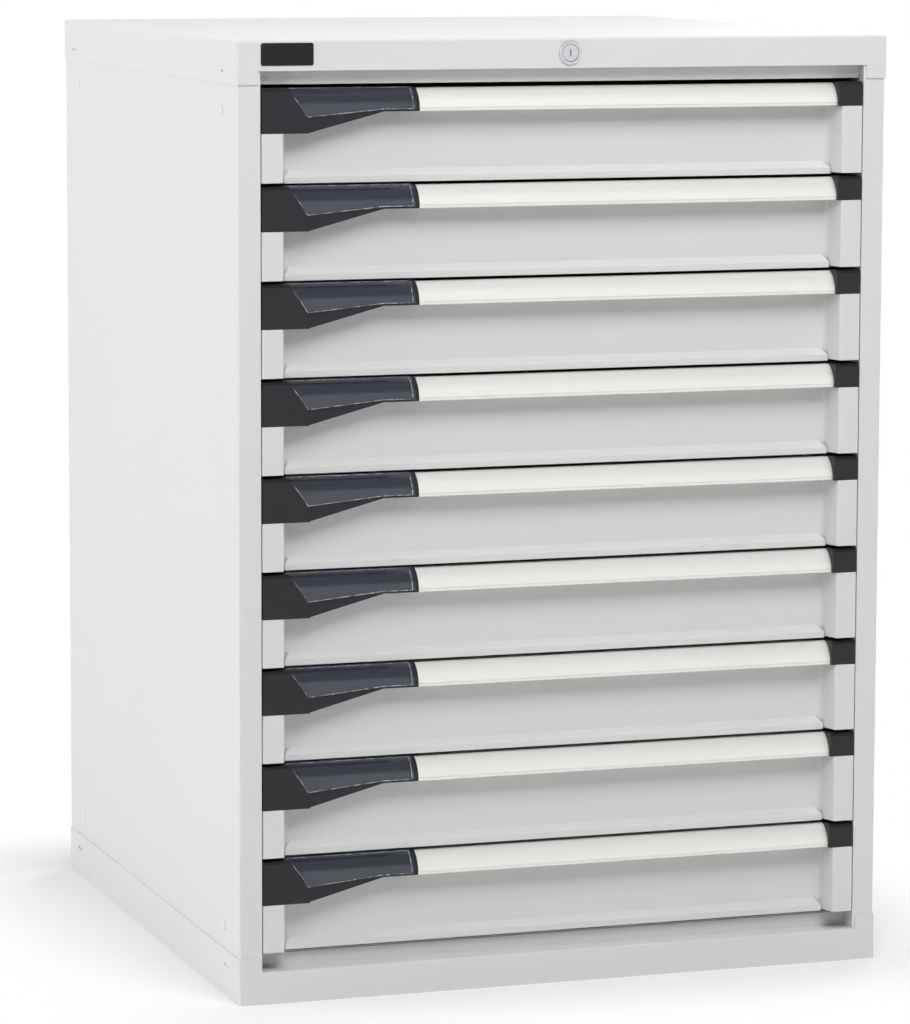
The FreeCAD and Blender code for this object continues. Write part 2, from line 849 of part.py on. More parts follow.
def drawer_front():
    sheet = "size.front_sheet"
    height = "at.front_head - at.front_foot"
    body = new_body("drawer_front")
    face = [
        ("at.front_side", "at.front + size.front_return"),
        ("at.front_side", "at.front"),
        ("at.column_inner", "at.front"),
        ("at.panel_side", "at.panel"),
    ]
    back = [
        ("at.panel_side + at.flank_shift", f"at.panel + {sheet}"),
        ("at.column_inner + at.flank_shift", f"at.front + {sheet}"),
        (f"at.front_side - {sheet}", f"at.front + {sheet}"),
        (f"at.front_side - {sheet}", "at.front + size.front_return"),
    ]
    left_back = [(f"-({across})", along) for across, along in reversed(back)]
    plan = new_sketch(body, "XY_Plane", "at.front_foot")
    outline(plan, mirrored(face) + left_back + back)
    pad(body, plan, height)

    places = {
        name: value(name) for name in ("front", "front_side", "column_inner", "panel_side", "panel")
    }
    chamfer(
        body,
        "size.column_bend",
        lambda middle, way: upright(way)
        and near(middle.y, places["front"])
        and (
            near(abs(middle.x), places["front_side"]) or near(abs(middle.x), places["column_inner"])
        ),
    )
    fillet(
        body,
        "size.cove_bend",
        lambda middle, way: upright(way)
        and near(middle.y, places["panel"])
        and near(abs(middle.x), places["panel_side"]),
    )

    for sign, foot in ((-1, "at.left_cap_foot"), (1, "at.right_cap_foot")):
        notch = new_sketch(body, "XZ_Plane", "-(at.front)")
        inner, outer = f"{sign} * at.notch_side", f"{sign} * at.opening"
        low, high = (inner, outer) if sign > 0 else (outer, inner)
        rectangle(notch, (low, foot), (high, "at.front_head + size.overcut"))
        pocket(body, notch, "2 * size.recess_depth")

    flange = new_sketch(body, "XY_Plane", f"at.front_head - {sheet}")
    rectangle(
        flange,
        ("-at.notch_side", "at.panel"),
        ("at.notch_side", f"at.panel + {sheet} + size.top_flange"),
    )
    pad(body, flange, sheet)

    lip_side = "(at.panel_side - size.cove_bend)"
    lip_head = "at.front_foot + size.lip_height"
    foot_cut = new_sketch(body, "XZ_Plane", "-at.panel")
    rectangle(foot_cut, (f"-{lip_side}", "at.front_foot"), (lip_side, lip_head))
    pocket(body, foot_cut, sheet)

    edge = "at.front_foot + size.lip_height - size.lip_reach"
    lip_front = "at.panel - size.lip_reach"
    lip = new_sketch(body, "YZ_Plane", f"-{lip_side}")
    slope = f"{sheet} * (sqrt(2) - 1)"
    outline(
        lip,
        [
            (f"at.panel + {sheet}", f"{lip_head} + {sheet}"),
            ("at.panel", f"{lip_head} + {sheet}"),
            ("at.panel", lip_head),
            (lip_front, edge),
            (lip_front, "at.front_foot"),
            (f"{lip_front} + {sheet}", "at.front_foot"),
            (f"{lip_front} + {sheet}", f"{edge} - {slope}"),
            (f"at.panel + {sheet}", f"{lip_head} - {slope}"),
        ],
    )
    pad(body, lip, f"2 * {lip_side}")
    return body


# Tray: an open box of thin sheet, welded to the back of the front.


def tray_box():
    body = new_body("tray_box")
    plan = new_sketch(body, "XY_Plane", "at.tray_foot")
    rectangle(plan, ("-at.tray_side", "at.tray_front"), ("at.tray_side", "at.tray_back"))
    pad(body, plan, "at.tray_head - at.tray_foot")
    hollow = new_sketch(body, "XY_Plane", "at.tray_foot + size.tray_sheet")
    rectangle(
        hollow,
        ("-size.tray_width / 2", "at.tray_front + size.tray_sheet"),
        ("size.tray_width / 2", "at.tray_back - size.tray_sheet"),
    )
    pocket(body, hollow, "at.tray_head - at.tray_foot", reverse=True)
    return body


def drawer_rail():
    sheet = "size.rail_sheet"
    web = f"at.tray_side + {sheet}"
    reach = "at.tray_side + size.rail_reach"
    head = "at.rail_foot + at.rail_height"
    body = new_body("drawer_rail")
    section = new_sketch(body, "XZ_Plane", "-(at.tray_front + size.tray_sheet)")
    outline(
        section,
        [
            ("at.tray_side", "at.rail_foot"),
            (reach, "at.rail_foot"),
            (reach, f"at.rail_foot + {sheet}"),
            (web, f"at.rail_foot + {sheet}"),
            (web, f"{head} - {sheet}"),
            (reach, f"{head} - {sheet}"),
            (reach, head),
            ("at.tray_side", head),
        ],
    )
    pad(body, section, "at.tray_back - at.tray_front - size.tray_sheet", reverse=True)
    return body


# Catch: an angle on the right-hand wall of the tray, which the lock comb holds.


def catch():
    sheet = "size.lug_sheet"
    front = "at.comb_rear + size.lug_gap"
    body = new_body("catch")
    plan = new_sketch(body, "XY_Plane", "size.stack_up + size.lug_rise")
    outline(
        plan,
        [
            ("at.tray_side", front),
            ("at.tray_side + size.lug_reach", front),
            ("at.tray_side + size.lug_reach", f"{front} + {sheet}"),
            (f"at.tray_side + {sheet}", f"{front} + {sheet}"),
            (f"at.tray_side + {sheet}", f"{front} + size.lug_foot"),
            ("at.tray_side", f"{front} + size.lug_foot"),
        ],
    )
    pad(body, plan, "size.lug_height")
    return body


# Grip: an extruded aluminium section. A flat top, a convex face that runs down to a grooved band,
# a hollow behind it for the fingers, and a flange against the panel.


def grip_skin(inset, foot, grooved=False):
    """The grip's outer line, moved inwards by an expression: rear of the top to foot, in (Y, Z)."""
    centre_y = "(at.front + size.grip_centre_back)"
    centre_z = "at.grip_centre_up"
    radius = f"(size.grip_radius - ({inset}))"
    top = f"(at.grip_head - ({inset}))"
    band = f"(at.front + size.grip_setback + ({inset}))"
    crest = (f"{centre_y} - sqrt({radius} ^ 2 - ({top} - {centre_z}) ^ 2)", top)
    brow = (band, f"{centre_z} + sqrt({radius} ^ 2 - ({centre_y} - {band}) ^ 2)")
    return [crest, brow, (band, foot)], radius


def grip():
    wall = "size.grip_wall"
    foot = "at.grip_foot"
    body = new_body("grip")
    section = new_sketch(body, "YZ_Plane", "-at.grip_left")
    outer, outer_radius = grip_skin("0", foot)
    inner, inner_radius = grip_skin(wall, foot)
    crest, brow, toe = outer
    flange = f"at.panel - {wall}"
    points = [
        ("at.panel", crest[1]),
        crest,
        brow,
        (brow[0], f"{brow[1]} - size.groove"),
        (f"{brow[0]} + size.groove", f"{brow[1]} - size.groove"),
        (f"{brow[0]} + size.groove", f"{brow[1]} - 2 * size.groove"),
        (brow[0], f"{brow[1]} - 2 * size.groove"),
        toe,
        inner[2],
        inner[1],
        inner[0],
        (flange, inner[0][1]),
        (flange, foot),
        ("at.panel", foot),
    ]
    outline(section, points, {1: (outer_radius, -1), 9: (inner_radius, 1)})
    pad(body, section, "at.grip_left + at.grip_right")
    return body


# Right-hand grip end: a moulded block that fills the notch above the column.


def right_cap():
    face = "at.front + size.cap_setback"
    foot, head = "at.right_cap_foot", "at.cap_head"
    body = new_body("right_cap")
    side = new_sketch(body, "YZ_Plane", "at.grip_right")
    outline(
        side,
        [
            ("at.panel", foot),
            ("at.panel", head),
            (f"{face} + size.cap_chamfer", head),
            (face, f"{head} - size.cap_chamfer"),
            (face, foot),
        ],
    )
    pad(body, side, "at.opening - size.cap_side_gap - at.grip_right")
    hollow = new_sketch(body, "XZ_Plane", "-at.panel")
    rectangle(
        hollow,
        ("at.grip_right + size.cap_wall", f"{foot} + size.cap_wall"),
        (
            "at.opening - size.cap_side_gap - size.cap_wall",
            f"{head} - size.cap_chamfer - size.cap_wall",
        ),
    )
    pocket(body, hollow, "size.recess_depth - size.cap_setback - size.cap_wall", reverse=True)
    return body


# Left-hand grip end: a flush block over the column, which runs on as a curved label holder with
# the grip's own section and a rising lower edge.


def left_cap():
    wall = "size.cap_wall"
    face = "at.front + size.cap_setback"
    foot, head = "at.left_cap_foot", "at.cap_head"
    end_foot = "at.grip_foot"
    side = "-(at.opening - size.cap_side_gap)"
    body = new_body("left_cap")

    holder = new_sketch(body, "YZ_Plane", "-at.window_head_side")
    outer, radius = grip_skin("0", foot)
    outline(
        holder,
        [("at.panel", outer[0][1])] + outer + [("at.panel", foot)],
        {1: (radius, -1)},
    )
    pad(body, holder, "at.window_head_side - at.grip_left")

    block = new_sketch(body, "XZ_Plane", "-at.panel")
    outline(
        block,
        [
            (side, foot),
            ("-at.left_cap_step", foot),
            ("-at.window_foot_side", "at.window_foot"),
            ("-at.window_head_side", head),
            (side, head),
        ],
    )
    pad(body, block, "size.recess_depth - size.cap_setback")
    top, front = value("cap_head"), value("front") + value("cap_setback")
    chamfer(
        body,
        "size.cap_chamfer",
        lambda middle, way: near(middle.z, top) and near(middle.y, front),
    )

    below = f"{foot} - size.overcut"
    behind = "at.panel + size.overcut"
    inner, inner_radius = grip_skin(wall, below)
    palm = new_sketch(body, "YZ_Plane", f"-at.window_foot_side + {wall}")
    outline(
        palm,
        [(behind, inner[0][1])] + inner + [(behind, below)],
        {1: (inner_radius, -1)},
    )
    pocket(body, palm, "at.window_foot_side", reverse=True)

    rise = new_sketch(body, "XZ_Plane", "-(at.front)")
    outline(
        rise,
        [
            ("-at.left_cap_step", foot),
            ("-at.left_cap_step", below),
            ("-at.grip_left + size.overcut", below),
            ("-at.grip_left + size.overcut", end_foot),
            ("-at.left_cap_rise", end_foot),
        ],
    )
    pocket(body, rise, "2 * size.recess_depth")

    hollow = new_sketch(body, "XZ_Plane", "-at.panel")
    rectangle(
        hollow,
        (f"{side} + {wall}", f"{foot} + {wall}"),
        (f"-at.window_head_side - {wall}", f"{head} - size.cap_chamfer - {wall}"),
    )
    pocket(body, hollow, f"size.recess_depth - size.cap_setback - {wall}", reverse=True)
    return body


# Label window: a clear curved cover over the left-hand grip end.


def label_window():
    outset, inset = "-(size.window_gap + size.window_sheet)", "-size.window_gap"
    foot = "at.window_foot"
    kink = "at.window_kink_up"
    body = new_body("label_window")
    section = new_sketch(body, "YZ_Plane", "-at.window_head_side")
    outer, outer_radius = grip_skin(outset, foot)
    inner, inner_radius = grip_skin(inset, foot)
    back = "at.panel - size.grip_wall"
    outline(
        section,
        [(back, outer[0][1])] + outer + inner[::-1] + [(back, inner[0][1])],
        {1: (outer_radius, -1), 5: (inner_radius, 1)},
    )
    pad(body, section, "at.window_head_side - at.window_right")

    past = "size.overcut"
    edge_foot = "-at.window_foot_side + size.window_side_gap"
    edge_head = "-at.window_head_side + size.window_side_gap"
    head = "at.cap_head"
    trims = new_sketch(body, "XZ_Plane", "-(at.front)")
    outline(
        trims,
        [
            (f"-at.window_head_side - {past}", f"{foot} - {past}"),
            (edge_foot, f"{foot} - {past}"),
            (edge_foot, foot),
            (edge_head, head),
            (edge_head, f"{head} + {past}"),
            (f"-at.window_head_side - {past}", f"{head} + {past}"),
        ],
    )
    pocket(body, trims, "2 * size.recess_depth")
    rise = new_sketch(body, "XZ_Plane", "-(at.front)")
    outline(
        rise,
        [
            ("-at.window_foot_side", f"{foot} - {past}"),
            (f"-at.window_right + {past}", f"{foot} - {past}"),
            (f"-at.window_right + {past}", kink),
            ("-at.window_kink", kink),
            ("-at.window_foot_side", foot),
        ],
    )
    pocket(body, rise, "2 * size.recess_depth")
    return body


# Carriage: the middle member of the slide. The two rear rollers run in the cabinet rail, and the
# two front rollers carry the drawer rail.


def carriage():
    body = new_body("carriage_right")
    plate = new_sketch(body, "YZ_Plane", "at.plate_inner")
    half = "size.plate_height / 2"
    rectangle(
        plate,
        ("at.carriage_front", f"at.roller_up - {half}"),
        ("at.carriage_front + size.carriage_length", f"at.roller_up + {half}"),
    )
    pad(body, plate, "size.plate_sheet")
    first = "at.carriage_front + size.roller_end"
    last = "at.carriage_front + size.carriage_length - size.roller_end"
    inner = (first, f"{first} + size.roller_spacing")
    outer = (last, f"{last} - size.roller_spacing")
    for face, axes, inwards in (("at.plate_inner", inner, True), ("at.plate_outer", outer, False)):
        for along in axes:
            disc = new_sketch(body, "YZ_Plane", face)
            polygon(disc, (along, "at.roller_up"), "at.roller_radius", ROUND_SIDES)
            pad(body, disc, "at.roller_width", reverse=inwards)
    return body


drawer_pieces = {
    "tray": group(
        "drawer_1_tray",
        [drawer_front(), tray_box(), both_sides("drawer_rails", drawer_rail()), catch()],
    ),
    "grip": grip(),
    "grip_ends": group("drawer_1_grip_ends", [left_cap(), right_cap()]),
    "label_window": label_window(),
    "carriage": both_sides("drawer_1_carriage", carriage()),
}
for number in range(1, int(value("drawer_count")) + 1):
    for name, piece in drawer_pieces.items():
        if number == 1:
            node(f"drawer_1_{name}", piece)
        else:
            copy = group(f"drawer_{number}_{name}", [piece])
            copy.setExpression(".Placement.Base.z", f"{number - 1} * size.drawer_pitch")
            node(f"drawer_{number}_{name}", copy)


# ---------------------------------------------------------------- lock

# Lock housing: a bezel and barrel through the fascia and the cross rail, with its nut behind the
# fascia.


def lock_housing():
    centre = ("size.lock_x", "at.lock_up")
    body = new_body("lock_barrel")
    bezel = circle(new_sketch(body, "XZ_Plane", "-at.front"), centre, "size.bezel_diameter / 2")
    pad(body, bezel, "size.bezel_proud")
    barrel = new_sketch(body, "XZ_Plane", "-at.front")
    polygon(barrel, centre, "size.barrel_diameter / 2", BARREL_SIDES)
    pad(body, barrel, "at.barrel_length", reverse=True)
    nut = polygon(new_sketch(body, "XZ_Plane", "-at.post_front"), centre, "size.nut_radius", 6)
    pad(body, nut, "size.nut_thick", reverse=True)
    bore = new_sketch(body, "XZ_Plane", "-at.front + size.bezel_proud")
    flats = f"(size.plug_diameter / 2 + size.lock_clearance) / cos({180 / BARREL_SIDES} deg)"
    polygon(bore, centre, flats, BARREL_SIDES)
    pocket(body, bore, "2 * at.barrel_length")
    return body


node("lock_housing", lock_housing())


# Lock plug: turns in the barrel. A key slot in front, and a crank plate with a pin behind.


def lock_plug():
    centre = ("size.lock_x", "at.lock_up")
    body = new_body("lock_plug")
    stem = new_sketch(body, "XZ_Plane", "-at.front + size.bezel_proud - size.plug_recess")
    circle(stem, centre, "size.plug_diameter / 2")
    pad(
        body,
        stem,
        "at.cam_front - at.front + size.bezel_proud - size.plug_recess",
        reverse=True,
    )
    crank = new_sketch(body, "XZ_Plane", "-at.cam_front")
    pin_across, pin_up = "size.lock_x + at.crank_offset", "at.lock_up - at.crank_offset"
    rectangle(
        crank,
        ("size.lock_x - size.crank_tail", f"{pin_up} - size.crank_margin"),
        (f"{pin_across} + size.crank_margin", "at.lock_up + size.crank_tail"),
    )
    pad(body, crank, "size.cam_sheet", reverse=True)
    pin = new_sketch(body, "XZ_Plane", "-at.cam_rear")
    polygon(pin, (pin_across, pin_up), "size.crank_pin / 2", ROUND_SIDES)
    pad(body, pin, "at.rod_rear - at.cam_rear", reverse=True)
    slot = new_sketch(body, "XZ_Plane", "-at.front + size.bezel_proud")
    rectangle(
        slot,
        ("size.lock_x - size.key_slot_width / 2", "at.lock_up - size.key_slot_height / 2"),
        ("size.lock_x + size.key_slot_width / 2", "at.lock_up + size.key_slot_height / 2"),
    )
    pocket(body, slot, "size.key_slot_depth")
    return body


node("lock_plug", lock_plug())


# Pull rod: a flat bar behind the cross rail. An upright slot takes the crank pin, and the sloping
# slot in its head drives the comb.


def pull_rod():
    crank = "size.lock_x + at.crank_offset"
    half, half_head = "size.rod_height / 2", "size.rod_head / 2"
    left = f"{crank} - size.crank_radius"
    neck = "at.comb_pin - size.crank_radius"
    right = "at.comb_pin + at.lift + at.link_width / 2 + size.rod_margin"
    body = new_body("lock_pull_rod")
    face = new_sketch(body, "XZ_Plane", "-at.rod_front")
    outline(
        face,
        [
            (left, f"at.rod_up - {half}"),
            (neck, f"at.rod_up - {half}"),
            (neck, f"at.rod_up - {half_head}"),
            (right, f"at.rod_up - {half_head}"),
            (right, f"at.rod_up + {half_head}"),
            (neck, f"at.rod_up + {half_head}"),
            (neck, f"at.rod_up + {half}"),
            (left, f"at.rod_up + {half}"),
        ],
    )
    pad(body, face, "size.rod_sheet", reverse=True)

    slot = new_sketch(body, "XZ_Plane", "-at.rod_front")
    rectangle(
        slot,
        (f"{crank} - at.link_width / 2", "at.lock_up - size.crank_radius - at.link_width / 2"),
        (f"{crank} + at.link_width / 2", "at.lock_up - at.crank_offset + at.link_width / 2"),
    )
    pocket(body, slot, "size.rod_sheet")

    ramp = new_sketch(body, "XZ_Plane", "-at.rod_front")
    corner = "at.link_width * sqrt(0.5)"
    near_end = ("at.comb_pin", "at.comb_pin_up")
    far_end = ("at.comb_pin + at.lift", "at.comb_pin_up + at.lift")
    outline(
        ramp,
        [
            (near_end[0], f"{near_end[1]} - {corner}"),
            (f"{far_end[0]} + {corner}", far_end[1]),
            (far_end[0], f"{far_end[1]} + {corner}"),
            (f"{near_end[0]} - {corner}", near_end[1]),
        ],
    )
    pocket(body, ramp, "size.rod_sheet")
    return body


node("lock_pull_rod", pull_rod())


# Lock comb: a tall flat bar with a head for the crank pin, and a tooth for every drawer welded to
# its edge. Raised, each tooth stands in front of the catch on its tray.


def comb_plate(label, low, high):
    """A flat plate of the comb, from one corner to the other in (X, Z)."""
    body = new_body(label)
    plate = rectangle(new_sketch(body, "XZ_Plane", "-at.comb_front"), low, high)
    pad(body, plate, "size.comb_sheet", reverse=True)
    return body


def comb_head():
    body = comb_plate(
        "comb_head",
        ("at.comb_pin - size.comb_head / 2", "at.comb_head_up - size.comb_head"),
        ("at.comb_outer", "at.comb_head_up"),
    )
    pin = new_sketch(body, "XZ_Plane", "-at.comb_front")
    polygon(pin, ("at.comb_pin", "at.comb_pin_up"), "size.crank_pin / 2", ROUND_SIDES)
    pad(body, pin, "at.comb_front - at.rod_front")
    return body


def comb_tooth(drawer):
    foot = f"size.stack_up + {drawer - 1} * size.drawer_pitch + size.tooth_rise"
    return comb_plate(
        "comb_tooth",
        ("at.comb_inner - size.tooth_reach", foot),
        ("at.comb_inner", f"{foot} + size.tooth_height"),
    )


comb_bar = comb_plate(
    "comb_bar",
    ("at.comb_inner", "size.comb_foot"),
    ("at.comb_outer", "at.comb_head_up - size.comb_head"),
)
comb_teeth = [comb_tooth(n) for n in range(1, int(value("drawer_count")) + 1)]
node("lock_comb", group("lock_comb", [comb_bar, comb_head()] + comb_teeth))


# Guides: folded loops that hold the comb to the right-hand side panel, and the rod to the cross
# rail.


def comb_guide(drawer):
    play, wall = "size.guide_play", "size.guide_wall"
    body = new_body("comb_guide")
    foot = f"size.stack_up + {drawer - 1} * size.drawer_pitch + size.guide_rise"
    loop = new_sketch(body, "XY_Plane", foot)
    rectangle(
        loop,
        (f"at.comb_inner - {play} - {wall}", f"at.comb_front - {play} - {wall}"),
        ("at.side - size.housing_sheet", f"at.comb_rear + {play} + {wall}"),
    )
    pad(body, loop, "size.guide_height")
    hole = new_sketch(body, "XY_Plane", f"{foot} + size.guide_height")
    rectangle(
        hole,
        (f"at.comb_inner - {play}", f"at.comb_front - {play}"),
        (f"at.comb_outer + {play}", f"at.comb_rear + {play}"),
    )
    pocket(body, hole, "size.guide_height")
    return body


def rod_guide():
    play, wall = "size.guide_play", "size.guide_wall"
    half = "size.rod_height / 2"
    body = new_body("rod_guide")
    loop = new_sketch(body, "YZ_Plane", "at.opening / 2")
    rectangle(
        loop,
        (
            "at.front + size.cross_setback + size.cross_depth",
            f"at.rod_up - {half} - {play} - {wall}",
        ),
        (f"at.rod_rear + {play} + {wall}", "at.cap_under"),
    )
    pad(body, loop, "size.guide_height")
    hole = new_sketch(body, "YZ_Plane", "at.opening / 2 + size.guide_height")
    rectangle(
        hole,
        (f"at.rod_front - {play}", f"at.rod_up - {half} - {play}"),
        (f"at.rod_rear + {play}", f"at.rod_up + {half} + {play}"),
    )
    pocket(body, hole, "size.guide_height")
    return body


last_drawer = int(value("drawer_count"))
guided = (1, (last_drawer + 1) // 2, last_drawer)
node("lock_guides", group("lock_guides", [comb_guide(n) for n in guided] + [rod_guide()]))


# ---------------------------------------------------------------- checks and export

doc.recompute()
for item in doc.Objects:
    if "Invalid" in item.State or "Error" in item.State:
        raise RuntimeError(f"{item.Label} ({item.Name}): {item.State}")
for piece in NODES:
    if piece.Shape.isNull() or not piece.Shape.isValid() or not piece.Shape.Solids:
        raise RuntimeError(f"{piece.Label}: bad shape")
for piece in NODES:
    piece.Shape.exportStep(f"parts/{piece.Label}.step")
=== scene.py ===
import json
import math

import bmesh
import bpy
from mathutils import Matrix, Vector

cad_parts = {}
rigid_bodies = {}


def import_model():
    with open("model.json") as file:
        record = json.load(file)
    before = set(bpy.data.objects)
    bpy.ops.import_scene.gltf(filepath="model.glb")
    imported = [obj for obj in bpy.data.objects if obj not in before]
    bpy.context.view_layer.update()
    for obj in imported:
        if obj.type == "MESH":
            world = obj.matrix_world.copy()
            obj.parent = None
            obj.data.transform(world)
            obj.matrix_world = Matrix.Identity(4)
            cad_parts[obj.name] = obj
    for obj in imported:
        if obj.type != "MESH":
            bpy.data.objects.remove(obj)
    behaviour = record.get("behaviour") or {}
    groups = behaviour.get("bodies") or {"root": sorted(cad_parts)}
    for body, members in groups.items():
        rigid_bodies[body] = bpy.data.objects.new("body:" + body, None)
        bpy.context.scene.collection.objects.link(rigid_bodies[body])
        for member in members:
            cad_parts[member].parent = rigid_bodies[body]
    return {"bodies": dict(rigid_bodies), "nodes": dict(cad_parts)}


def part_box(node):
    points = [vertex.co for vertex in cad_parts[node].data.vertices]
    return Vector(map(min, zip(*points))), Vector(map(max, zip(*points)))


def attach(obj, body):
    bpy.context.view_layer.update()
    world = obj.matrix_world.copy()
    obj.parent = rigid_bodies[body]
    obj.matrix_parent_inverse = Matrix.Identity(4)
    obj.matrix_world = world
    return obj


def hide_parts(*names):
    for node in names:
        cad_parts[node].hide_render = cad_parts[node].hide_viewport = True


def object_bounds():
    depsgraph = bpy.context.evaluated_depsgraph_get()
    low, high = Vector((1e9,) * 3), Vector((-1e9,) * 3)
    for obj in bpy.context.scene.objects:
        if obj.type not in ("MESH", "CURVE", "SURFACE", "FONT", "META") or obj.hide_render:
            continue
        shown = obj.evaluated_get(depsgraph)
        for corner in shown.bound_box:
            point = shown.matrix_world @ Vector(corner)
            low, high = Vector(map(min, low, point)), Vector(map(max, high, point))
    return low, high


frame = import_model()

cad_bounds = [list(corner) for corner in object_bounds()]

# ---------------------------------------------------------------- camera and studio
# The camera stands to the left of the cabinet and looks slightly down on it. The cabinet stands on
# a pale floor in a white room, under two broad soft lamps, with one more on the left and one behind
# it on the right.

MM = 0.001
IMAGE_WIDTH, IMAGE_HEIGHT = 910, 1024
CAMERA_PLACE = Vector((-1.6540, -4.8872, 1.1579))
CAMERA_PAN, CAMERA_DIP, CAMERA_ROLL = 0.326, 0.124, 0.003
FOCAL_PIXELS = 4633.8
LENS_SHIFT = -0.05


def in_scene(name, data):
    """A new object in the scene that carries some data."""
    obj = bpy.data.objects.new(name, data)
    bpy.context.scene.collection.objects.link(obj)
    return obj


camera = in_scene("camera", bpy.data.cameras.new("camera"))
bpy.context.scene.camera = camera
forward = Vector(
    (
        math.sin(CAMERA_PAN) * math.cos(CAMERA_DIP),
        math.cos(CAMERA_PAN) * math.cos(CAMERA_DIP),
        -math.sin(CAMERA_DIP),
    )
)
right = forward.cross(Vector((0, 0, 1))).normalized()
up = right.cross(forward)
rolled_right = right * math.cos(CAMERA_ROLL) + up * math.sin(CAMERA_ROLL)
rolled_up = up * math.cos(CAMERA_ROLL) - right * math.sin(CAMERA_ROLL)
turn = Matrix((rolled_right, rolled_up, -forward)).transposed()
camera.matrix_world = Matrix.Translation(CAMERA_PLACE) @ turn.to_4x4()
camera.data.sensor_width = 36.0
camera.data.lens = FOCAL_PIXELS * camera.data.sensor_width / max(IMAGE_WIDTH, IMAGE_HEIGHT)
camera.data.shift_y = LENS_SHIFT
camera.data.clip_end = 50.0

bpy.context.scene.view_settings.view_transform = "Standard"


def linear(hex_colour):
    """An sRGB hex colour as linear RGBA."""
    channels = [int(hex_colour[i : i + 2], 16) / 255 for i in (1, 3, 5)]
    return tuple(c / 12.92 if c <= 0.04045 else ((c + 0.055) / 1.055) ** 2.4 for c in channels) + (1,)


def add(tree, kind, settings=None, links=None):
    """Adds a node. Settings name its properties or sockets; links join its sockets to others."""
    node = tree.nodes.new(kind)
    for key, setting in (settings or {}).items():
        if isinstance(key, str) and hasattr(node, key):
            setattr(node, key, setting)
        else:
            node.inputs[key].default_value = setting
    for key, source in (links or {}).items():
        tree.links.new(source, node.inputs[key])
    return node


def new_material(name):
    """An empty material, its node tree, and the coordinates of a place on its object."""
    material = bpy.data.materials.new(name)
    material.use_nodes = True
    tree = material.node_tree
    tree.nodes.clear()
    return material, tree, add(tree, "ShaderNodeTexCoord").outputs["Object"]


def blend(tree, factor, first, second):
    """A colour that runs from first to second as factor runs from 0 to 1."""
    mix = add(tree, "ShaderNodeMix", {"data_type": "RGBA", 6: first, 7: second}, {0: factor})
    return mix.outputs[2]


def ramp(tree, number, settings):
    """A number mapped from one range to another."""
    return add(tree, "ShaderNodeMapRange", settings, {"Value": number}).outputs[0]


def seen_directly(tree):
    """1 for rays that show a surface, straight, mirrored or through clear plastic; 0 for light."""
    rays = add(tree, "ShaderNodeLightPath").outputs
    seen = rays["Is Camera Ray"]
    for kind in ("Is Glossy Ray", "Is Transmission Ray"):
        either = {0: seen, 1: rays[kind]}
        seen = add(tree, "ShaderNodeMath", {"operation": "MAXIMUM"}, either).outputs[0]
    return seen


def area_lamp(name, place, target, width, height, watts, mirrored):
    """A soft rectangular lamp. Only a mirrored one shows in glossy and clear surfaces."""
    lamp = bpy.data.lights.new(name, "AREA")
    lamp.shape = "RECTANGLE"
    lamp.size, lamp.size_y, lamp.energy = width, height, watts
    obj = in_scene(name, lamp)
    obj.location = place
    obj.rotation_euler = (Vector(target) - Vector(place)).to_track_quat("-Z", "Y").to_euler()
    obj.visible_glossy = obj.visible_transmission = mirrored


area_lamp("overhead_front", (0, -2.6, 3.2), (0, -0.3, 0.6), 3.0, 1.6, 92, False)
area_lamp("overhead", (0, -0.3, 3.6), (0, 0, 0.5), 3.0, 3.0, 28, False)
area_lamp("left_wall", (-4.0, 0.3, 1.8), (0, 0, 0.6), 2.5, 2.5, 95, True)
area_lamp("behind_right", (3.2, 3.4, 2.6), (0, 0.2, 0.5), 2.5, 2.5, 90, True)

world = bpy.data.worlds.new("room")
bpy.context.scene.world = world
world.use_nodes = True
room = world.node_tree
room.nodes.clear()
fill_light = add(room, "ShaderNodeBackground", {"Color": linear("#f4f6fa"), "Strength": 0.14})
# The walls are white up to about 27 degrees above the level, and the ceiling is dim from 44 degrees.
gaze = add(room, "ShaderNodeTexCoord").outputs["Generated"]
climb = add(room, "ShaderNodeSeparateXYZ", {}, {0: gaze}).outputs["Z"]
ceiling = ramp(room, climb, {"interpolation_type": "SMOOTHSTEP", "From Min": 0.45, "From Max": 0.7})
wall_colour = blend(room, ceiling, linear("#ffffff"), linear("#8c8f98"))
white_wall = add(room, "ShaderNodeBackground", {"Strength": 1.0}, {"Color": wall_colour})
shown = add(
    room,
    "ShaderNodeMixShader",
    {},
    {0: seen_directly(room), 1: fill_light.outputs[0], 2: white_wall.outputs[0]},
)
add(room, "ShaderNodeOutputWorld", {}, {"Surface": shown.outputs[0]})

FLOOR_HALF = 6.0
floor_mesh = bpy.data.meshes.new("floor")
corners = [(-1, -1), (1, -1), (1, 1), (-1, 1)]
floor_mesh.from_pydata([(x * FLOOR_HALF, y * FLOOR_HALF, 0) for x, y in corners], [], [(0, 1, 2, 3)])
floor = in_scene("floor", floor_mesh)
floor_paint, tree, spot = new_material("pale_floor")
# The floor keeps the shadow beside the cabinet and turns plain white away from it.
footprint = (cad_bounds[1][0], cad_bounds[1][1], 0)
for step, other in (("ABSOLUTE", (0, 0, 0)), ("SUBTRACT", footprint), ("MAXIMUM", (0, 0, 0))):
    settings = {"operation": step, 1: other}
    spot = add(tree, "ShaderNodeVectorMath", settings, {0: spot}).outputs[0]
distance = add(tree, "ShaderNodeVectorMath", {"operation": "LENGTH"}, {0: spot}).outputs["Value"]
fade = ramp(tree, distance, {"interpolation_type": "SMOOTHSTEP", "From Min": -0.03, "From Max": 0.22})
blank = add(tree, "ShaderNodeMath", {"operation": "MULTIPLY"}, {0: fade, 1: seen_directly(tree)})
matt = add(tree, "ShaderNodeBsdfDiffuse", {"Color": linear("#f3f3f3")})
white = add(tree, "ShaderNodeEmission", {"Color": linear("#ffffff"), "Strength": 1.0})
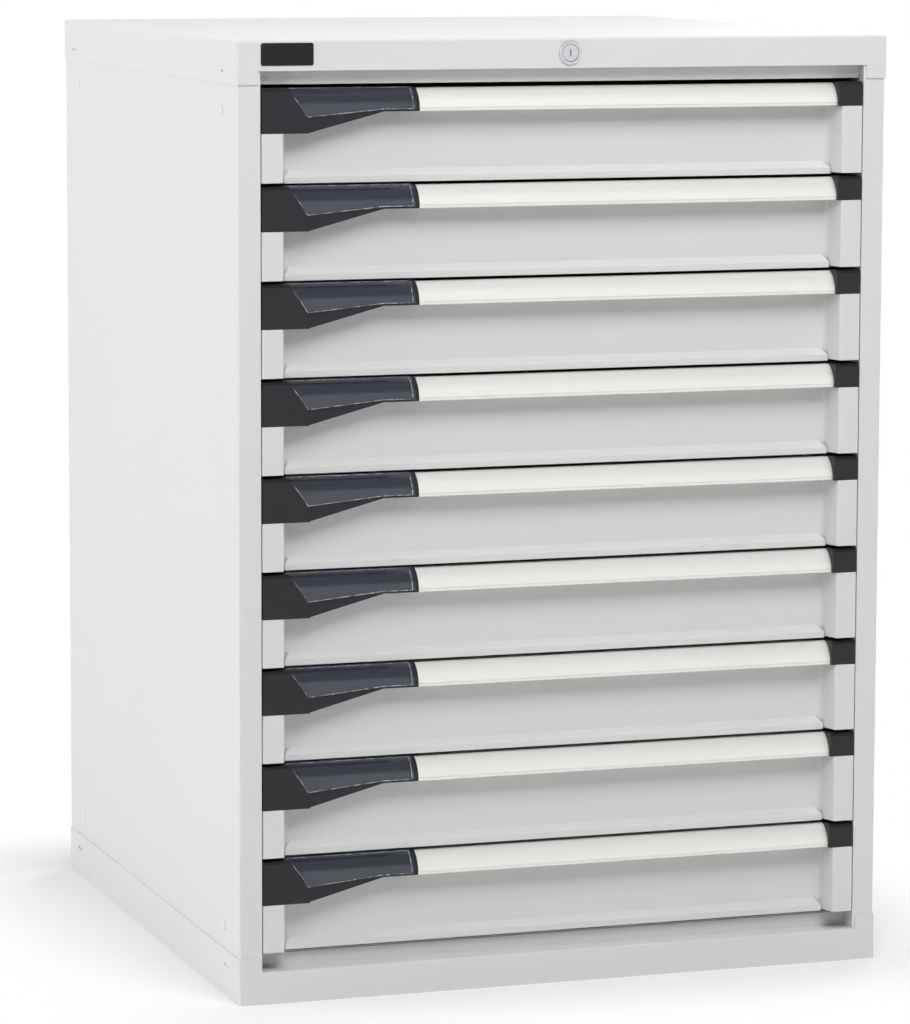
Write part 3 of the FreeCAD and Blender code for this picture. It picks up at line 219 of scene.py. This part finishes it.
surface = add(
    tree, "ShaderNodeMixShader", {}, {0: blank.outputs[0], 1: matt.outputs[0], 2: white.outputs[0]}
)
add(tree, "ShaderNodeOutputMaterial", {}, {"Surface": surface.outputs[0]})
floor_mesh.materials.append(floor_paint)

# ---------------------------------------------------------------- housing
# Side panels, back, lid, base ring, deck and cross rail, all folded from 1 to 1.5 mm steel sheet.
# They are powder coated light grey after folding, so every edge has a soft rounding of paint.


def noise(tree, place, settings):
    """Procedural noise, from 0 to 1."""
    return add(tree, "ShaderNodeTexNoise", settings, {"Vector": place}).outputs["Fac"]


def relief(tree, height, strength, distance):
    """A surface normal that follows a fine relief, distance deep in metres."""
    settings = {"Strength": strength, "Distance": distance}
    return add(tree, "ShaderNodeBump", settings, {"Height": height}).outputs[0]


def gloss(tree, factor, smoothest, roughest):
    """A roughness that varies with factor."""
    return ramp(tree, factor, {"To Min": smoothest, "To Max": roughest})


def times(colour, share):
    """A colour made darker or lighter."""
    return tuple(min(1, c * share) for c in colour[:3]) + (1,)


def surfaced(tree, settings, links):
    """Ends a material with its shader: what is the same all over it, and what varies."""
    skin = add(tree, "ShaderNodeBsdfPrincipled", settings, links)
    add(tree, "ShaderNodeOutputMaterial", {}, {"Surface": skin.outputs[0]})


def powder_coat(name, hex_colour, roughness):
    """Fine-texture powder coat on steel: an even satin skin with a faint orange peel."""
    material, tree, place = new_material(name)
    # The peel's cells are about 1 mm wide; they are drawn 2.5 mm wide so that they show.
    peel = noise(tree, place, {"Scale": 1 / (2.5 * MM), "Detail": 2.0, "Roughness": 0.45})
    # The coat varies a little in thickness over a few hundred millimetres, and in gloss with it.
    drift = noise(tree, place, {"Scale": 1 / (260 * MM), "Detail": 3.0})
    base = linear(hex_colour)
    surfaced(
        tree,
        {"IOR": 1.5},
        {
            "Base Color": blend(tree, drift, times(base, 0.965), base),
            "Roughness": gloss(tree, drift, roughness - 0.04, roughness + 0.05),
            "Normal": relief(tree, peel, 0.10, 0.03 * MM),
        },
    )
    return material


def finish_piece(name, mesh, material, body, slot, *nodes):
    """Puts a finished mesh on its body in place of the CAD nodes that it stands for."""
    piece = in_scene(name, mesh)
    mesh.materials.clear()
    mesh.materials.append(material)
    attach(piece, body)
    if nodes:
        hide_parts(*nodes)


def smooth_mesh(name, shape):
    """Turns a bmesh into a mesh with smooth shading."""
    mesh = bpy.data.meshes.new(name)
    shape.to_mesh(mesh)
    shape.free()
    for polygon in mesh.polygons:
        polygon.use_smooth = True
    return mesh


def modified(name, maker):
    """The plain mesh that an object's modifiers make. The object and its own mesh are removed."""
    start = maker.data
    bpy.context.view_layer.update()
    finished = bpy.data.meshes.new_from_object(
        maker.evaluated_get(bpy.context.evaluated_depsgraph_get())
    )
    finished.name = name
    bpy.data.objects.remove(maker)
    bpy.data.meshes.remove(start)
    return finished


# Edges that turn by more than one of these angles, in degrees, are rounded.
HARD, SHALLOW = 30, 14
FULL_WEIGHT = 100
COPLANAR = math.radians(0.05)


def rounded(name, shape, edge_radius, softer=None, sharpest=HARD):
    """Turns a bmesh into a mesh whose hard edges are rounded by edge_radius.

    softer gives a radius of its own to an edge, or None, from the edge's middle and direction.
    """
    radii = shape.edges.layers.float.new("bevel_weight_edge")
    widest = edge_radius
    for edge in shape.edges:
        if len(edge.link_faces) == 2 and edge.calc_face_angle(0) > math.radians(sharpest):
            middle = (edge.verts[0].co + edge.verts[1].co) / 2
            way = (edge.verts[1].co - edge.verts[0].co).normalized()
            edge[radii] = (softer and softer(middle, way)) or edge_radius
            widest = max(widest, edge[radii])
    for edge in shape.edges:
        edge[radii] /= widest
    maker = in_scene(name + "_maker", smooth_mesh(name, shape))
    bevel = maker.modifiers.new("rounding", "BEVEL")
    bevel.width, bevel.segments = widest, 2
    bevel.limit_method = "WEIGHT"
    bevel.miter_outer = "MITER_ARC"
    whole = maker.modifiers.new("whole_faces", "DECIMATE")
    whole.decimate_type, whole.angle_limit = "DISSOLVE", COPLANAR
    maker.modifiers.new("flat_faces", "WEIGHTED_NORMAL").weight = FULL_WEIGHT
    return modified(name, maker)


MOST_CORNERS = 20
WELD_DISTANCE = 0.002 * MM
NEARLY_COPLANAR = math.radians(0.5)


def cad_copy(nodes, keep=None):
    """A welded copy of CAD nodes; keep picks the separate solids by the corners of their box."""
    shape = bmesh.new()
    for node in nodes:
        shape.from_mesh(frame["nodes"][node].data)
    bmesh.ops.remove_doubles(shape, verts=shape.verts, dist=WELD_DISTANCE)
    if keep:
        loose, seen = [], set()
        for start in shape.verts:
            if start in seen:
                continue
            island, queue = {start}, [start]
            while queue:
                for edge in queue.pop().link_edges:
                    for vert in edge.verts:
                        if vert not in island:
                            island.add(vert)
                            queue.append(vert)
            seen |= island
            low = Vector([min(v.co[i] for v in island) for i in range(3)])
            high = Vector([max(v.co[i] for v in island) for i in range(3)])
            if not keep(low / MM, high / MM):
                loose += list(island)
        bmesh.ops.delete(shape, geom=loose, context="VERTS")
    bmesh.ops.dissolve_limit(
        shape, angle_limit=NEARLY_COPLANAR, verts=shape.verts, edges=shape.edges
    )
    # A flat face with many notches is cut up again, because rounding its edges would fold it.
    notched = [face for face in shape.faces if len(face.verts) > MOST_CORNERS]
    bmesh.ops.triangulate(shape, faces=notched)
    return shape


MOSTLY = 0.9
LID_CORNER = 2.2 * MM
SHEET_EDGE = 0.35 * MM


def corner_bends(middle, way):
    """The lid's upright corners are welded and ground to a larger rounding."""
    low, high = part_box("top_cover")
    at_side = abs(abs(middle.x) - high[0]) < MM
    at_end = min(abs(middle.y - low[1]), abs(middle.y - high[1])) < MM
    return LID_CORNER if at_side and at_end and abs(way.z) > MOSTLY else None


housing_paint = powder_coat("powder_coat_light_grey", "#dededd", 0.44)
for node in (
    "side_panel_left",
    "side_panel_right",
    "back_panel",
    "top_cover",
    "base_frame",
    "floor_deck",
    "front_cross_rail",
):
    softer = corner_bends if node == "top_cover" else None
    mesh = rounded(node + "_coated", cad_copy([node]), SHEET_EDGE, softer)
    finish_piece(node + "_coated", mesh, housing_paint, "housing", "cabinet_paint", node)

# ---------------------------------------------------------------- side plugs
# Eight small domed caps of light grey plastic, pressed over the bolts in the side panels.


def turned(profile, segments):
    """A solid of revolution about +Z from (radius, height) pairs in mm, first and last on the axis."""
    shape = bmesh.new()
    angles = [2 * math.pi * k / segments for k in range(segments)]
    rings = []
    for radius, height in profile:
        if radius == 0:
            rings.append([shape.verts.new((0, 0, height * MM))])
        else:
            reach = radius * MM
            rings.append(
                [shape.verts.new((reach * math.cos(a), reach * math.sin(a), height * MM)) for a in angles]
            )
    for below, above in zip(rings, rings[1:]):
        for k in range(segments):
            n = (k + 1) % segments
            if len(below) == 1:
                shape.faces.new((below[0], above[n], above[k]))
            elif len(above) == 1:
                shape.faces.new((below[k], below[n], above[0]))
            else:
                shape.faces.new((below[k], below[n], above[n], above[k]))
    bmesh.ops.recalc_face_normals(shape, faces=shape.faces)
    mesh = smooth_mesh("turned", shape)
    mesh.set_sharp_from_angle(angle=math.radians(35))
    return mesh


def open_group(name, inputs):
    """A Geometry Nodes group with named inputs and one mesh output, and its input node's sockets."""
    tree = bpy.data.node_groups.new(name, "GeometryNodeTree")
    for title, kind in inputs:
        tree.interface.new_socket(title, in_out="INPUT", socket_type="NodeSocket" + kind)
    tree.interface.new_socket("Mesh", in_out="OUTPUT", socket_type="NodeSocketGeometry")
    return tree, tree.nodes.new("NodeGroupInput").outputs


def close_group(tree, shape, finish):
    """Ends a group: its instances become real geometry with a finish."""
    real = add(tree, "GeometryNodeRealizeInstances", {}, {0: shape})
    coated = add(
        tree, "GeometryNodeSetMaterial", {}, {"Geometry": real.outputs[0], "Material": finish}
    )
    add(tree, "NodeGroupOutput", {}, {0: coated.outputs[0]})
    return tree


def copies_group():
    """Geometry Nodes: one unit mesh at every point, turned by the points' own angles."""
    tree, given = open_group(
        "copies_at_points", [("Points", "Geometry"), ("Unit", "Object"), ("Finish", "Material")]
    )
    unit = add(tree, "GeometryNodeObjectInfo", {}, {"Object": given["Unit"]})
    angles = add(tree, "GeometryNodeInputNamedAttribute", {"data_type": "FLOAT_VECTOR"})
    angles.inputs["Name"].default_value = "turn"
    placed = add(
        tree,
        "GeometryNodeInstanceOnPoints",
        {},
        {
            "Points": given["Points"],
            "Instance": unit.outputs["Geometry"],
            "Rotation": angles.outputs["Attribute"],
        },
    )
    return close_group(tree, placed.outputs[0], given["Finish"])


def grown(name, start, group, given):
    """The mesh that a Geometry Nodes group grows from a start mesh, its inputs given by name."""
    maker = in_scene(name + "_maker", start)
    modifier = maker.modifiers.new("grow", "NODES")
    modifier.node_group = group
    for item in group.interface.items_tree:
        if item.name in given:
            modifier[item.identifier] = given[item.name]
    return modified(name, maker)


COPIES = copies_group()


def copies(name, unit_mesh, places, material):
    """One mesh of a unit repeated at (point, euler angles) places, in metres."""
    points = bpy.data.meshes.new(name + "_points")
    points.from_pydata([point for point, _ in places], [], [])
    turns = points.attributes.new("turn", "FLOAT_VECTOR", "POINT")
    for k, (_, angles) in enumerate(places):
        turns.data[k].vector = angles
    unit = in_scene(name + "_unit", unit_mesh)
    finished = grown(name, points, COPIES, {"Unit": unit, "Finish": material})
    bpy.data.objects.remove(unit)
    return finished


def moulded_plastic(name, hex_colour, roughness, grain_mm, grain_depth, specular=0.5):
    """Moulded plastic with the fine spark-eroded grain of its tool."""
    material, tree, place = new_material(name)
    grain = noise(tree, place, {"Scale": 1 / (grain_mm * MM), "Detail": 3.0, "Roughness": 0.6})
    # Handling leaves broad smoother patches, tens of millimetres across.
    wear = noise(tree, place, {"Scale": 1 / (35 * MM), "Detail": 2.0})
    base = linear(hex_colour)
    surfaced(
        tree,
        {"IOR": 1.5, "Specular IOR Level": specular},
        {
            "Base Color": blend(tree, wear, base, times(base, 1.12)),
            "Roughness": gloss(tree, wear, roughness - 0.06, roughness + 0.06),
            "Normal": relief(tree, grain, 0.35, grain_depth * MM),
        },
    )
    return material


QUARTER_TURN = math.pi / 2
PLUG_RADIUS = 5.25
PLUG_HEAD = [(0, 0), (5.2, 0), (PLUG_RADIUS, 0.35), (5.0, 0.7), (4.2, 0.88), (2.4, 0.97), (0, 1.0)]
plug_plastic = moulded_plastic("plug_plastic_grey", "#dcdcdc", 0.4, 0.8, 0.01)
low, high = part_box("side_plugs")
reach = PLUG_RADIUS * MM
panel_face = high[0] - PLUG_HEAD[-1][1] * MM
places = [
    ((side * panel_face, y, z), (0, side * QUARTER_TURN, 0))
    for side in (-1, 1)
    for y in (low[1] + reach, high[1] - reach)
    for z in (low[2] + reach, high[2] - reach)
]
mesh = copies("side_plug_caps", turned(PLUG_HEAD, 32), places, plug_plastic)
finish_piece("side_plug_caps", mesh, plug_plastic, "housing", "plug_plastic", "side_plugs")

# ---------------------------------------------------------------- plate on the fascia
# A bare black plate of glossy plastic with a slightly rounded rim, glued to the lid's fascia.

PLATE_EDGE = 0.3 * MM
plate_black = moulded_plastic("plate_black_gloss", "#0d0d10", 0.2, 3.0, 0.01, 0.3)
mesh = rounded("fascia_plate", cad_copy(["name_plate"]), PLATE_EDGE)
finish_piece("fascia_plate", mesh, plate_black, "housing", "plate_plastic", "name_plate")

# ---------------------------------------------------------------- slides
# Cabinet rails and drawer rails, rolled from 1.5 mm steel and bright zinc plated. A carriage with
# nylon rollers on riveted pins runs between them.


def drawn_out(tree, place, stretch):
    """Coordinates stretched along one axis, for marks that a rolling or extruding tool draws out."""
    settings = {"operation": "MULTIPLY", 1: stretch}
    return add(tree, "ShaderNodeVectorMath", settings, {0: place}).outputs[0]


def zinc_plate(name, hex_colour, roughness):
    """Bright zinc on rolled steel: drawn lengthways, with faint cloudy patches of passivation."""
    material, tree, place = new_material(name)
    streaks = noise(tree, drawn_out(tree, place, (900, 14, 900)), {"Scale": 1.0, "Detail": 3.0})
    clouds = noise(tree, place, {"Scale": 1 / (40 * MM), "Detail": 4.0})
    base = linear(hex_colour)
    bluish = (base[0] * 0.86, base[1] * 0.9, base[2] * 0.97, 1)
    surfaced(
        tree,
        {"Metallic": 1.0},
        {
            "Base Color": blend(tree, clouds, bluish, base),
            "Roughness": gloss(tree, clouds, roughness - 0.07, roughness + 0.09),
            "Normal": relief(tree, streaks, 0.25, 0.02 * MM),
        },
    )
    return material


PLATED_EDGE = 0.3 * MM
zinc = zinc_plate("zinc_bright", "#c9ccd0", 0.34)
mesh = rounded("cabinet_rails_plated", cad_copy(["cabinet_rails"]), PLATED_EDGE)
finish_piece("cabinet_rails_plated", mesh, zinc, "housing", "zinc_steel", "cabinet_rails")

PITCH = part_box("drawer_2_tray")[0][2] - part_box("drawer_1_tray")[0][2]
DRAWERS = sum(1 for body in frame["bodies"] if body.startswith("drawer_"))


def every_drawer(name, mesh, material, slot, body="drawer", replaced=None):
    """Puts a mesh made for the lowest drawer on each drawer in turn."""
    for number in range(1, DRAWERS + 1):
        own = mesh if number == 1 else mesh.copy()
        if number > 1:
            own.transform(Matrix.Translation((0, 0, (number - 1) * PITCH)))
        nodes = [f"drawer_{number}_{replaced}"] if replaced else []
        title = f"drawer_{number}_{name}"
        own.name = title
        finish_piece(title, own, material, f"{body}_{number}", slot, *nodes)


# The tray node's solids are told apart by their size: its two rails are long and low.
LOW_SOLID, LONG_SOLID = 30, 500


def is_rail(low, high):
    return high.z - low.z < LOW_SOLID and high.y - low.y > LONG_SOLID


mesh = rounded("rails_plated", cad_copy(["drawer_1_tray"], is_rail), PLATED_EDGE)
every_drawer("rails_plated", mesh, zinc, "zinc_steel", replaced="tray")

ROLLER_REACH, PLATE_SHEET, PLATE_HALF = 9.5, 2.0, 11.0
ROLLER_END, ROLLER_SPACING = 20 * MM, 220 * MM
CARRIAGE_EDGE, CARRIAGE_CORNER = 0.4 * MM, 5 * MM


def carriage_corners(middle, way):
    """A carriage plate's corners are cut round."""
    return CARRIAGE_CORNER if abs(way.x) > MOSTLY else None


low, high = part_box("drawer_1_carriage")
middle_up = (low[2] + high[2]) / 2
inner_face = high[0] - (ROLLER_REACH + PLATE_SHEET) * MM
outer_face = inner_face + PLATE_SHEET * MM
shape = bmesh.new()
for side in (-1, 1):
    for vert in bmesh.ops.create_cube(shape, size=1)["verts"]:
        vert.co.x = side * (inner_face + (vert.co.x + 0.5) * PLATE_SHEET * MM)
        vert.co.y = low[1] if vert.co.y < 0 else high[1]
        vert.co.z = middle_up + 2 * vert.co.z * PLATE_HALF * MM
bmesh.ops.recalc_face_normals(shape, faces=shape.faces)
mesh = rounded("carriage_plates", shape, CARRIAGE_EDGE, carriage_corners)
every_drawer("carriage_plates", mesh, zinc, "zinc_steel", "carriage", "carriage")

# A roller from its plate outwards: tread, dished face, hub and the head of its pin.
ROLLER = [(0, 0), (6.5, 0), (6.5, 0.4), (9.6, 0.4), (10.15, 0.9), (10.15, 7.9), (9.6, 8.4)]
ROLLER += [(7.2, 8.4), (7.0, 8.0), (3.6, 8.0)]
ROLLER += [(3.4, 8.4), (3.4, 8.9), (2.9, 9.3), (1.6, ROLLER_REACH), (0, ROLLER_REACH)]
nylon = moulded_plastic("roller_nylon", "#d9d8d2", 0.42, 1.5, 0.01)
first, last = low[1] + ROLLER_END, high[1] - ROLLER_END
inner_rollers = (inner_face, -1, (first, first + ROLLER_SPACING))
outer_rollers = (outer_face, 1, (last, last - ROLLER_SPACING))
places = [
    ((side * face, y, middle_up), (0, side * outward * QUARTER_TURN, 0))
    for side in (-1, 1)
    for face, outward, axes in (inner_rollers, outer_rollers)
    for y in axes
]
mesh = copies("carriage_rollers", turned(ROLLER, 40), places, nylon)
every_drawer("carriage_rollers", mesh, nylon, "zinc_steel", "carriage", "carriage")

# ---------------------------------------------------------------- drawer fronts and trays
# Each front is folded from 1.2 mm steel: flush columns at both ends, a recessed panel between them
# and a turned-out lip at its foot. The tray behind it is 1 mm steel. Both are powder coated.

WIDE_SOLID, BOX_WIDE, BOX_TALL, SHORT_SOLID = 650, 600, 60, 100


def is_front(low, high):
    return high.x - low.x > WIDE_SOLID


def is_tray(low, high):
    return BOX_WIDE < high.x - low.x < WIDE_SOLID and high.z - low.z > BOX_TALL


def is_catch(low, high):
    return high.z - low.z < LOW_SOLID and high.y - low.y < SHORT_SOLID


COLUMN_FOLD, COLUMN_DEPTH = 0.8 * MM, 3 * MM


def column_folds(middle, way):
    """The folds beside the columns are softer than the cut edges."""
    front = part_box("drawer_1_tray")[0][1]
    return COLUMN_FOLD if abs(way.z) > MOSTLY and middle.y < front + COLUMN_DEPTH else None


PANEL_RECESS = 25 * MM
LIP_SIDE, LIP_REACH, LIP_HEIGHT = 296.5 * MM, 7 * MM, 12 * MM
LIP_SPREAD, LIP_DROP = 6.6 * MM, 1.6 * MM
FOLD_DROP = 4 * MM
A_LITTLE = 0.1 * MM


def press_front(shape):
    """Presses the lip out to the columns and down, and seats the panel's top fold under the grip."""
    low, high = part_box("drawer_1_tray")
    panel = low[1] + PANEL_RECESS
    for vert in shape.verts:
        place = vert.co
        if abs(place.x) < LIP_SIDE + A_LITTLE and place.y < panel - LIP_REACH / 2:
            if place.z < low[2] + LIP_HEIGHT:
                if abs(place.x) > LIP_SIDE - A_LITTLE:
                    place.x += math.copysign(LIP_SPREAD, place.x)
                if place.z < low[2] + A_LITTLE:
                    place.z -= LIP_DROP
        elif place.y > panel - A_LITTLE and place.z > high[2] - LIP_HEIGHT / 2:
            place.z -= FOLD_DROP
    bmesh.ops.triangulate(shape, faces=[face for face in shape.faces if len(face.verts) > 4])
    return shape


drawer_paint = powder_coat("powder_coat_drawer", "#dcdcdc", 0.42)
pressed = press_front(cad_copy(["drawer_1_tray"], is_front))
mesh = rounded("front_coated", pressed, SHEET_EDGE, column_folds, SHALLOW)
every_drawer("front_coated", mesh, drawer_paint, "drawer_paint", replaced="tray")
mesh = rounded("tray_coated", cad_copy(["drawer_1_tray"], is_tray), SHEET_EDGE)
every_drawer("tray_coated", mesh, drawer_paint, "drawer_paint", replaced="tray")
mesh = rounded("catch_plated", cad_copy(["drawer_1_tray"], is_catch), PLATED_EDGE)
every_drawer("catch_plated", mesh, zinc, "zinc_steel", replaced="tray")

# ---------------------------------------------------------------- grips
# Extruded aluminium, satin anodised. A flat top, a convex face that runs down to a thin groove and
# a narrow straight band, and a hollow behind it for the fingertips.


def anodised_aluminium(name, hex_colour, roughness):
    """Satin anodised aluminium with the fine die lines of its extrusion along X."""
    material, tree, place = new_material(name)
    # Die lines are a few hundredths of a millimetre apart; they are drawn at about 0.7 mm.
    lines = noise(tree, drawn_out(tree, place, (3.0, 1400, 1400)), {"Scale": 1.0, "Detail": 2.0})
    base = linear(hex_colour)
    surfaced(
        tree,
        {"Metallic": 0.35},
        {
            "Base Color": blend(tree, lines, times(base, 0.95), base),
            "Roughness": gloss(tree, lines, roughness - 0.05, roughness + 0.08),
            "Normal": relief(tree, lines, 0.22, 0.03 * MM),
        },
    )
    return material


low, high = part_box("drawer_1_grip")
GRIP_RADIUS, GRIP_WALL = 26.0, 2.0
GRIP_DROP, GRIP_SETBACK = 4.0, 4.3
CENTRE_BACK, CENTRE_DROP = 30.0, 27.6
FACE, REAR, TOP, FOOT = low[1] / MM, high[1] / MM, high[2] / MM, low[2] / MM
CENTRE_Y, CENTRE_Z = FACE - GRIP_SETBACK + CENTRE_BACK, TOP + GRIP_DROP - CENTRE_DROP


def arc_points(radius, first, last, steps):
    """Points on the grip's arc, from one height above its centre to another."""
    begin, end = math.asin(first / radius), math.asin(last / radius)
    angles = [begin + (end - begin) * k / steps for k in range(steps + 1)]
    return [(CENTRE_Y - radius * math.cos(a), CENTRE_Z + radius * math.sin(a)) for a in angles]


brow = CENTRE_Z + math.sqrt(GRIP_RADIUS**2 - (CENTRE_Y - FACE) ** 2)
inner_radius = GRIP_RADIUS - GRIP_WALL
inner_face_y = FACE + GRIP_WALL
inner_brow = math.sqrt(inner_radius**2 - (CENTRE_Y - inner_face_y) ** 2)
# The section as (Y, Z) in mm: the arc, the groove below it, the rounded foot, and back up inside.
profile = [(REAR, TOP)]
profile += arc_points(GRIP_RADIUS, TOP - CENTRE_Z, brow - CENTRE_Z, 18)
profile += [(FACE, brow - 0.45), (FACE + 0.25, brow - 0.7), (FACE + 0.75, brow - 0.85)]
profile += [(FACE + 0.75, brow - 1.35), (FACE + 0.25, brow - 1.5), (FACE, brow - 1.75)]
profile += [(FACE, FOOT + 0.5), (FACE + 0.15, FOOT + 0.15), (FACE + 0.5, FOOT)]
profile += [(inner_face_y - 0.4, FOOT), (inner_face_y, FOOT + 0.4)]
profile += arc_points(inner_radius, inner_brow, TOP - GRIP_WALL - CENTRE_Z, 14)
profile += [(REAR - GRIP_WALL, TOP - GRIP_WALL), (REAR - GRIP_WALL, FOOT), (REAR, FOOT)]
shape = bmesh.new()
ends = [[shape.verts.new((x, y * MM, z * MM)) for y, z in profile] for x in (low[0], high[0])]
for k in range(len(profile)):
    n = (k + 1) % len(profile)
    shape.faces.new((ends[0][k], ends[1][k], ends[1][n], ends[0][n]))
shape.faces.new(ends[0])
shape.faces.new(ends[1][::-1])
bmesh.ops.recalc_face_normals(shape, faces=shape.faces)
mesh = smooth_mesh("grip_extrusion", shape)
mesh.set_sharp_from_angle(angle=math.radians(32))
aluminium = anodised_aluminium("aluminium_satin", "#f4f2ed", 0.42)
every_drawer("grip_extrusion", mesh, aluminium, "grip_aluminium", replaced="grip")

# ---------------------------------------------------------------- grip ends
# Charcoal moulded ends: a flush block above each column. The left one runs on under the label
# window to meet the grip.

MOULDED_EDGE = 0.45 * MM
charcoal = moulded_plastic("plastic_charcoal", "#242428", 0.42, 0.5, 0.02, 0.3)
mesh = rounded("grip_ends_moulded", cad_copy(["drawer_1_grip_ends"]), MOULDED_EDGE, None, SHALLOW)
every_drawer("grip_ends_moulded", mesh, charcoal, "grip_end_plastic", replaced="grip_ends")

# ---------------------------------------------------------------- label windows
# A clear curved cover snapped over the left-hand grip end, with a raised bead round its rim. The
# bead's colour is painted highlight: a grey line with brighter painted glints. A label slides in behind
# it.


def clear_plastic(name, hex_colour, roughness):
    """Clear moulded plastic, a little wavy, with a smoky tint."""
    material, tree, place = new_material(name)
    ripple = noise(tree, place, {"Scale": 1 / (18 * MM), "Detail": 1.0})
    surfaced(
        tree,
        {
            "Base Color": linear(hex_colour),
            "Roughness": roughness,
            "IOR": 1.49,
            "Transmission Weight": 0.94,
        },
        {"Normal": relief(tree, ripple, 0.3, 0.12 * MM)},
    )
    return material


WINDOW_EDGE, WINDOW_SHARPEST = 0.3 * MM, 20
clear = clear_plastic("plastic_clear", "#b4bccc", 0.05)
window = cad_copy(["drawer_1_label_window"])
mesh = rounded("window_clear", window, WINDOW_EDGE, None, WINDOW_SHARPEST)
every_drawer("window_clear", mesh, clear, "window_plastic", replaced="label_window")


def painted_glint_edge(name, dull_hex, bright_hex, roughness):
    """The cover's raised rim, coloured with painted highlight: a grey line with brighter painted glints,
    in place of the light that clear plastic pipes along its edge.
    """
    material, tree, place = new_material(name)
    # The painted glints are about 4 mm long.
    painted_glints = noise(tree, place, {"Scale": 1 / (4 * MM), "Detail": 2.0, "Roughness": 0.6})
    sharper = ramp(tree, painted_glints, {"From Min": 0.42, "From Max": 0.62})
    tint = blend(tree, sharper, linear(dull_hex), linear(bright_hex))
    surfaced(tree, {"Roughness": roughness, "IOR": 1.49}, {"Base Color": tint})
    return material


def bead_group():
    """Geometry Nodes: a round bead along a closed path of edges."""
    tree, given = open_group(
        "bead_along_path", [("Path", "Geometry"), ("Radius", "Float"), ("Finish", "Material")]
    )
    line = add(tree, "GeometryNodeMeshToCurve", {}, {0: given["Path"]})
    section = add(
        tree, "GeometryNodeCurvePrimitiveCircle", {"Resolution": 8}, {"Radius": given["Radius"]}
    )
    tube = add(tree, "GeometryNodeCurveToMesh", {}, {0: line.outputs[0], 1: section.outputs[0]})
    return close_group(tree, tube.outputs[0], given["Finish"])


RIM_RADIUS, RIM_INSET, RIM_STEPS = 0.42, 0.9, 14
RIM_FROM_END = 3.0
WINDOW_RADIUS, WINDOW_LEAN = 27.5, 19.0
KINK_FROM_END, KINK_RISE = 35.6, 7.5
low, high = [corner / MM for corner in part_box("drawer_1_label_window")]


def on_window(x, z):
    """The point of the cover's outer face at x and z: an arc above, upright below."""
    bend = math.sqrt(WINDOW_RADIUS**2 - (z - CENTRE_Z) ** 2)
    return (x * MM, max(CENTRE_Y - bend, low[1]) * MM, z * MM)


# Up the slanting left end, down the right end, and back along the foot past its kink.
head, foot = high[2] - RIM_INSET, low[2] + RIM_INSET
end = high[0] - RIM_FROM_END
kink = low[2] + KINK_RISE + RIM_INSET
rim = []
for k in range(RIM_STEPS + 1):
    rise = k / RIM_STEPS
    lean = WINDOW_LEAN * (1 - rise) + RIM_INSET
    rim.append(on_window(low[0] + lean, foot + (head - foot) * rise))
rim += [on_window(end, head + (kink - head) * k / RIM_STEPS) for k in range(RIM_STEPS + 1)]
rim.append(on_window(high[0] - KINK_FROM_END, kink))
start = bpy.data.meshes.new("rim_path")
start.from_pydata(rim, [(k, (k + 1) % len(rim)) for k in range(len(rim))], [])
# The rim's grey and bright colours are painted highlight and painted glints, not the plastic's own
# colour.
rim_painted_highlight = painted_glint_edge("plastic_clear_edge_painted_highlight", "#5c5f6b", "#c9ccd6", 0.25)
mesh = grown("window_rim", start, bead_group(), {"Radius": RIM_RADIUS * MM, "Finish": rim_painted_highlight})
for polygon in mesh.polygons:
    polygon.use_smooth = True
every_drawer("window_rim", mesh, rim_painted_highlight, "window_plastic", replaced="label_window")

# ---------------------------------------------------------------- lock
# A chromed bezel and plug in the fascia. Behind it a zinc-plated rod and a tall comb, in folded
# guides.


def chrome(name, hex_colour, roughness):
    """Chromed die casting with a few fine handling scratches."""
    material, tree, place = new_material(name)
    scratches = noise(tree, place, {"Scale": 1 / (1.2 * MM), "Detail": 4.0, "Distortion": 1.5})
    surfaced(
        tree,
        {"Metallic": 1.0, "Base Color": linear(hex_colour)},
        {
            "Roughness": gloss(tree, scratches, roughness, roughness + 0.12),
            "Normal": relief(tree, scratches, 0.1, 0.01 * MM),
        },
    )
    return material


BEZEL_EDGE, BEZEL_RIM, PLUG_EDGE = 0.25 * MM, 0.7 * MM, 0.2 * MM


def bezel_rim(middle, way):
    """The bezel's front rim is rounded more than its other edges."""
    return BEZEL_RIM if middle.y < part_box("lock_housing")[0][1] + A_LITTLE else None


chromed = chrome("chrome_lock", "#d2d3d6", 0.1)
mesh = rounded("lock_bezel", cad_copy(["lock_housing"]), BEZEL_EDGE, bezel_rim)
finish_piece("lock_bezel", mesh, chromed, "housing", "lock_metal", "lock_housing")
mesh = rounded("lock_plug_face", cad_copy(["lock_plug"]), PLUG_EDGE)
finish_piece("lock_plug_face", mesh, chromed, "key_plug", "lock_metal", "lock_plug")
for node, body in (("lock_pull_rod", "pull_rod"), ("lock_comb", "comb"), ("lock_guides", "housing")):
    mesh = rounded(node + "_plated", cad_copy([node]), PLATED_EDGE)
    finish_piece(node + "_plated", mesh, zinc, body, "zinc_steel", node)

# ---------------------------------------------------------------- end
bpy.context.view_layer.update()
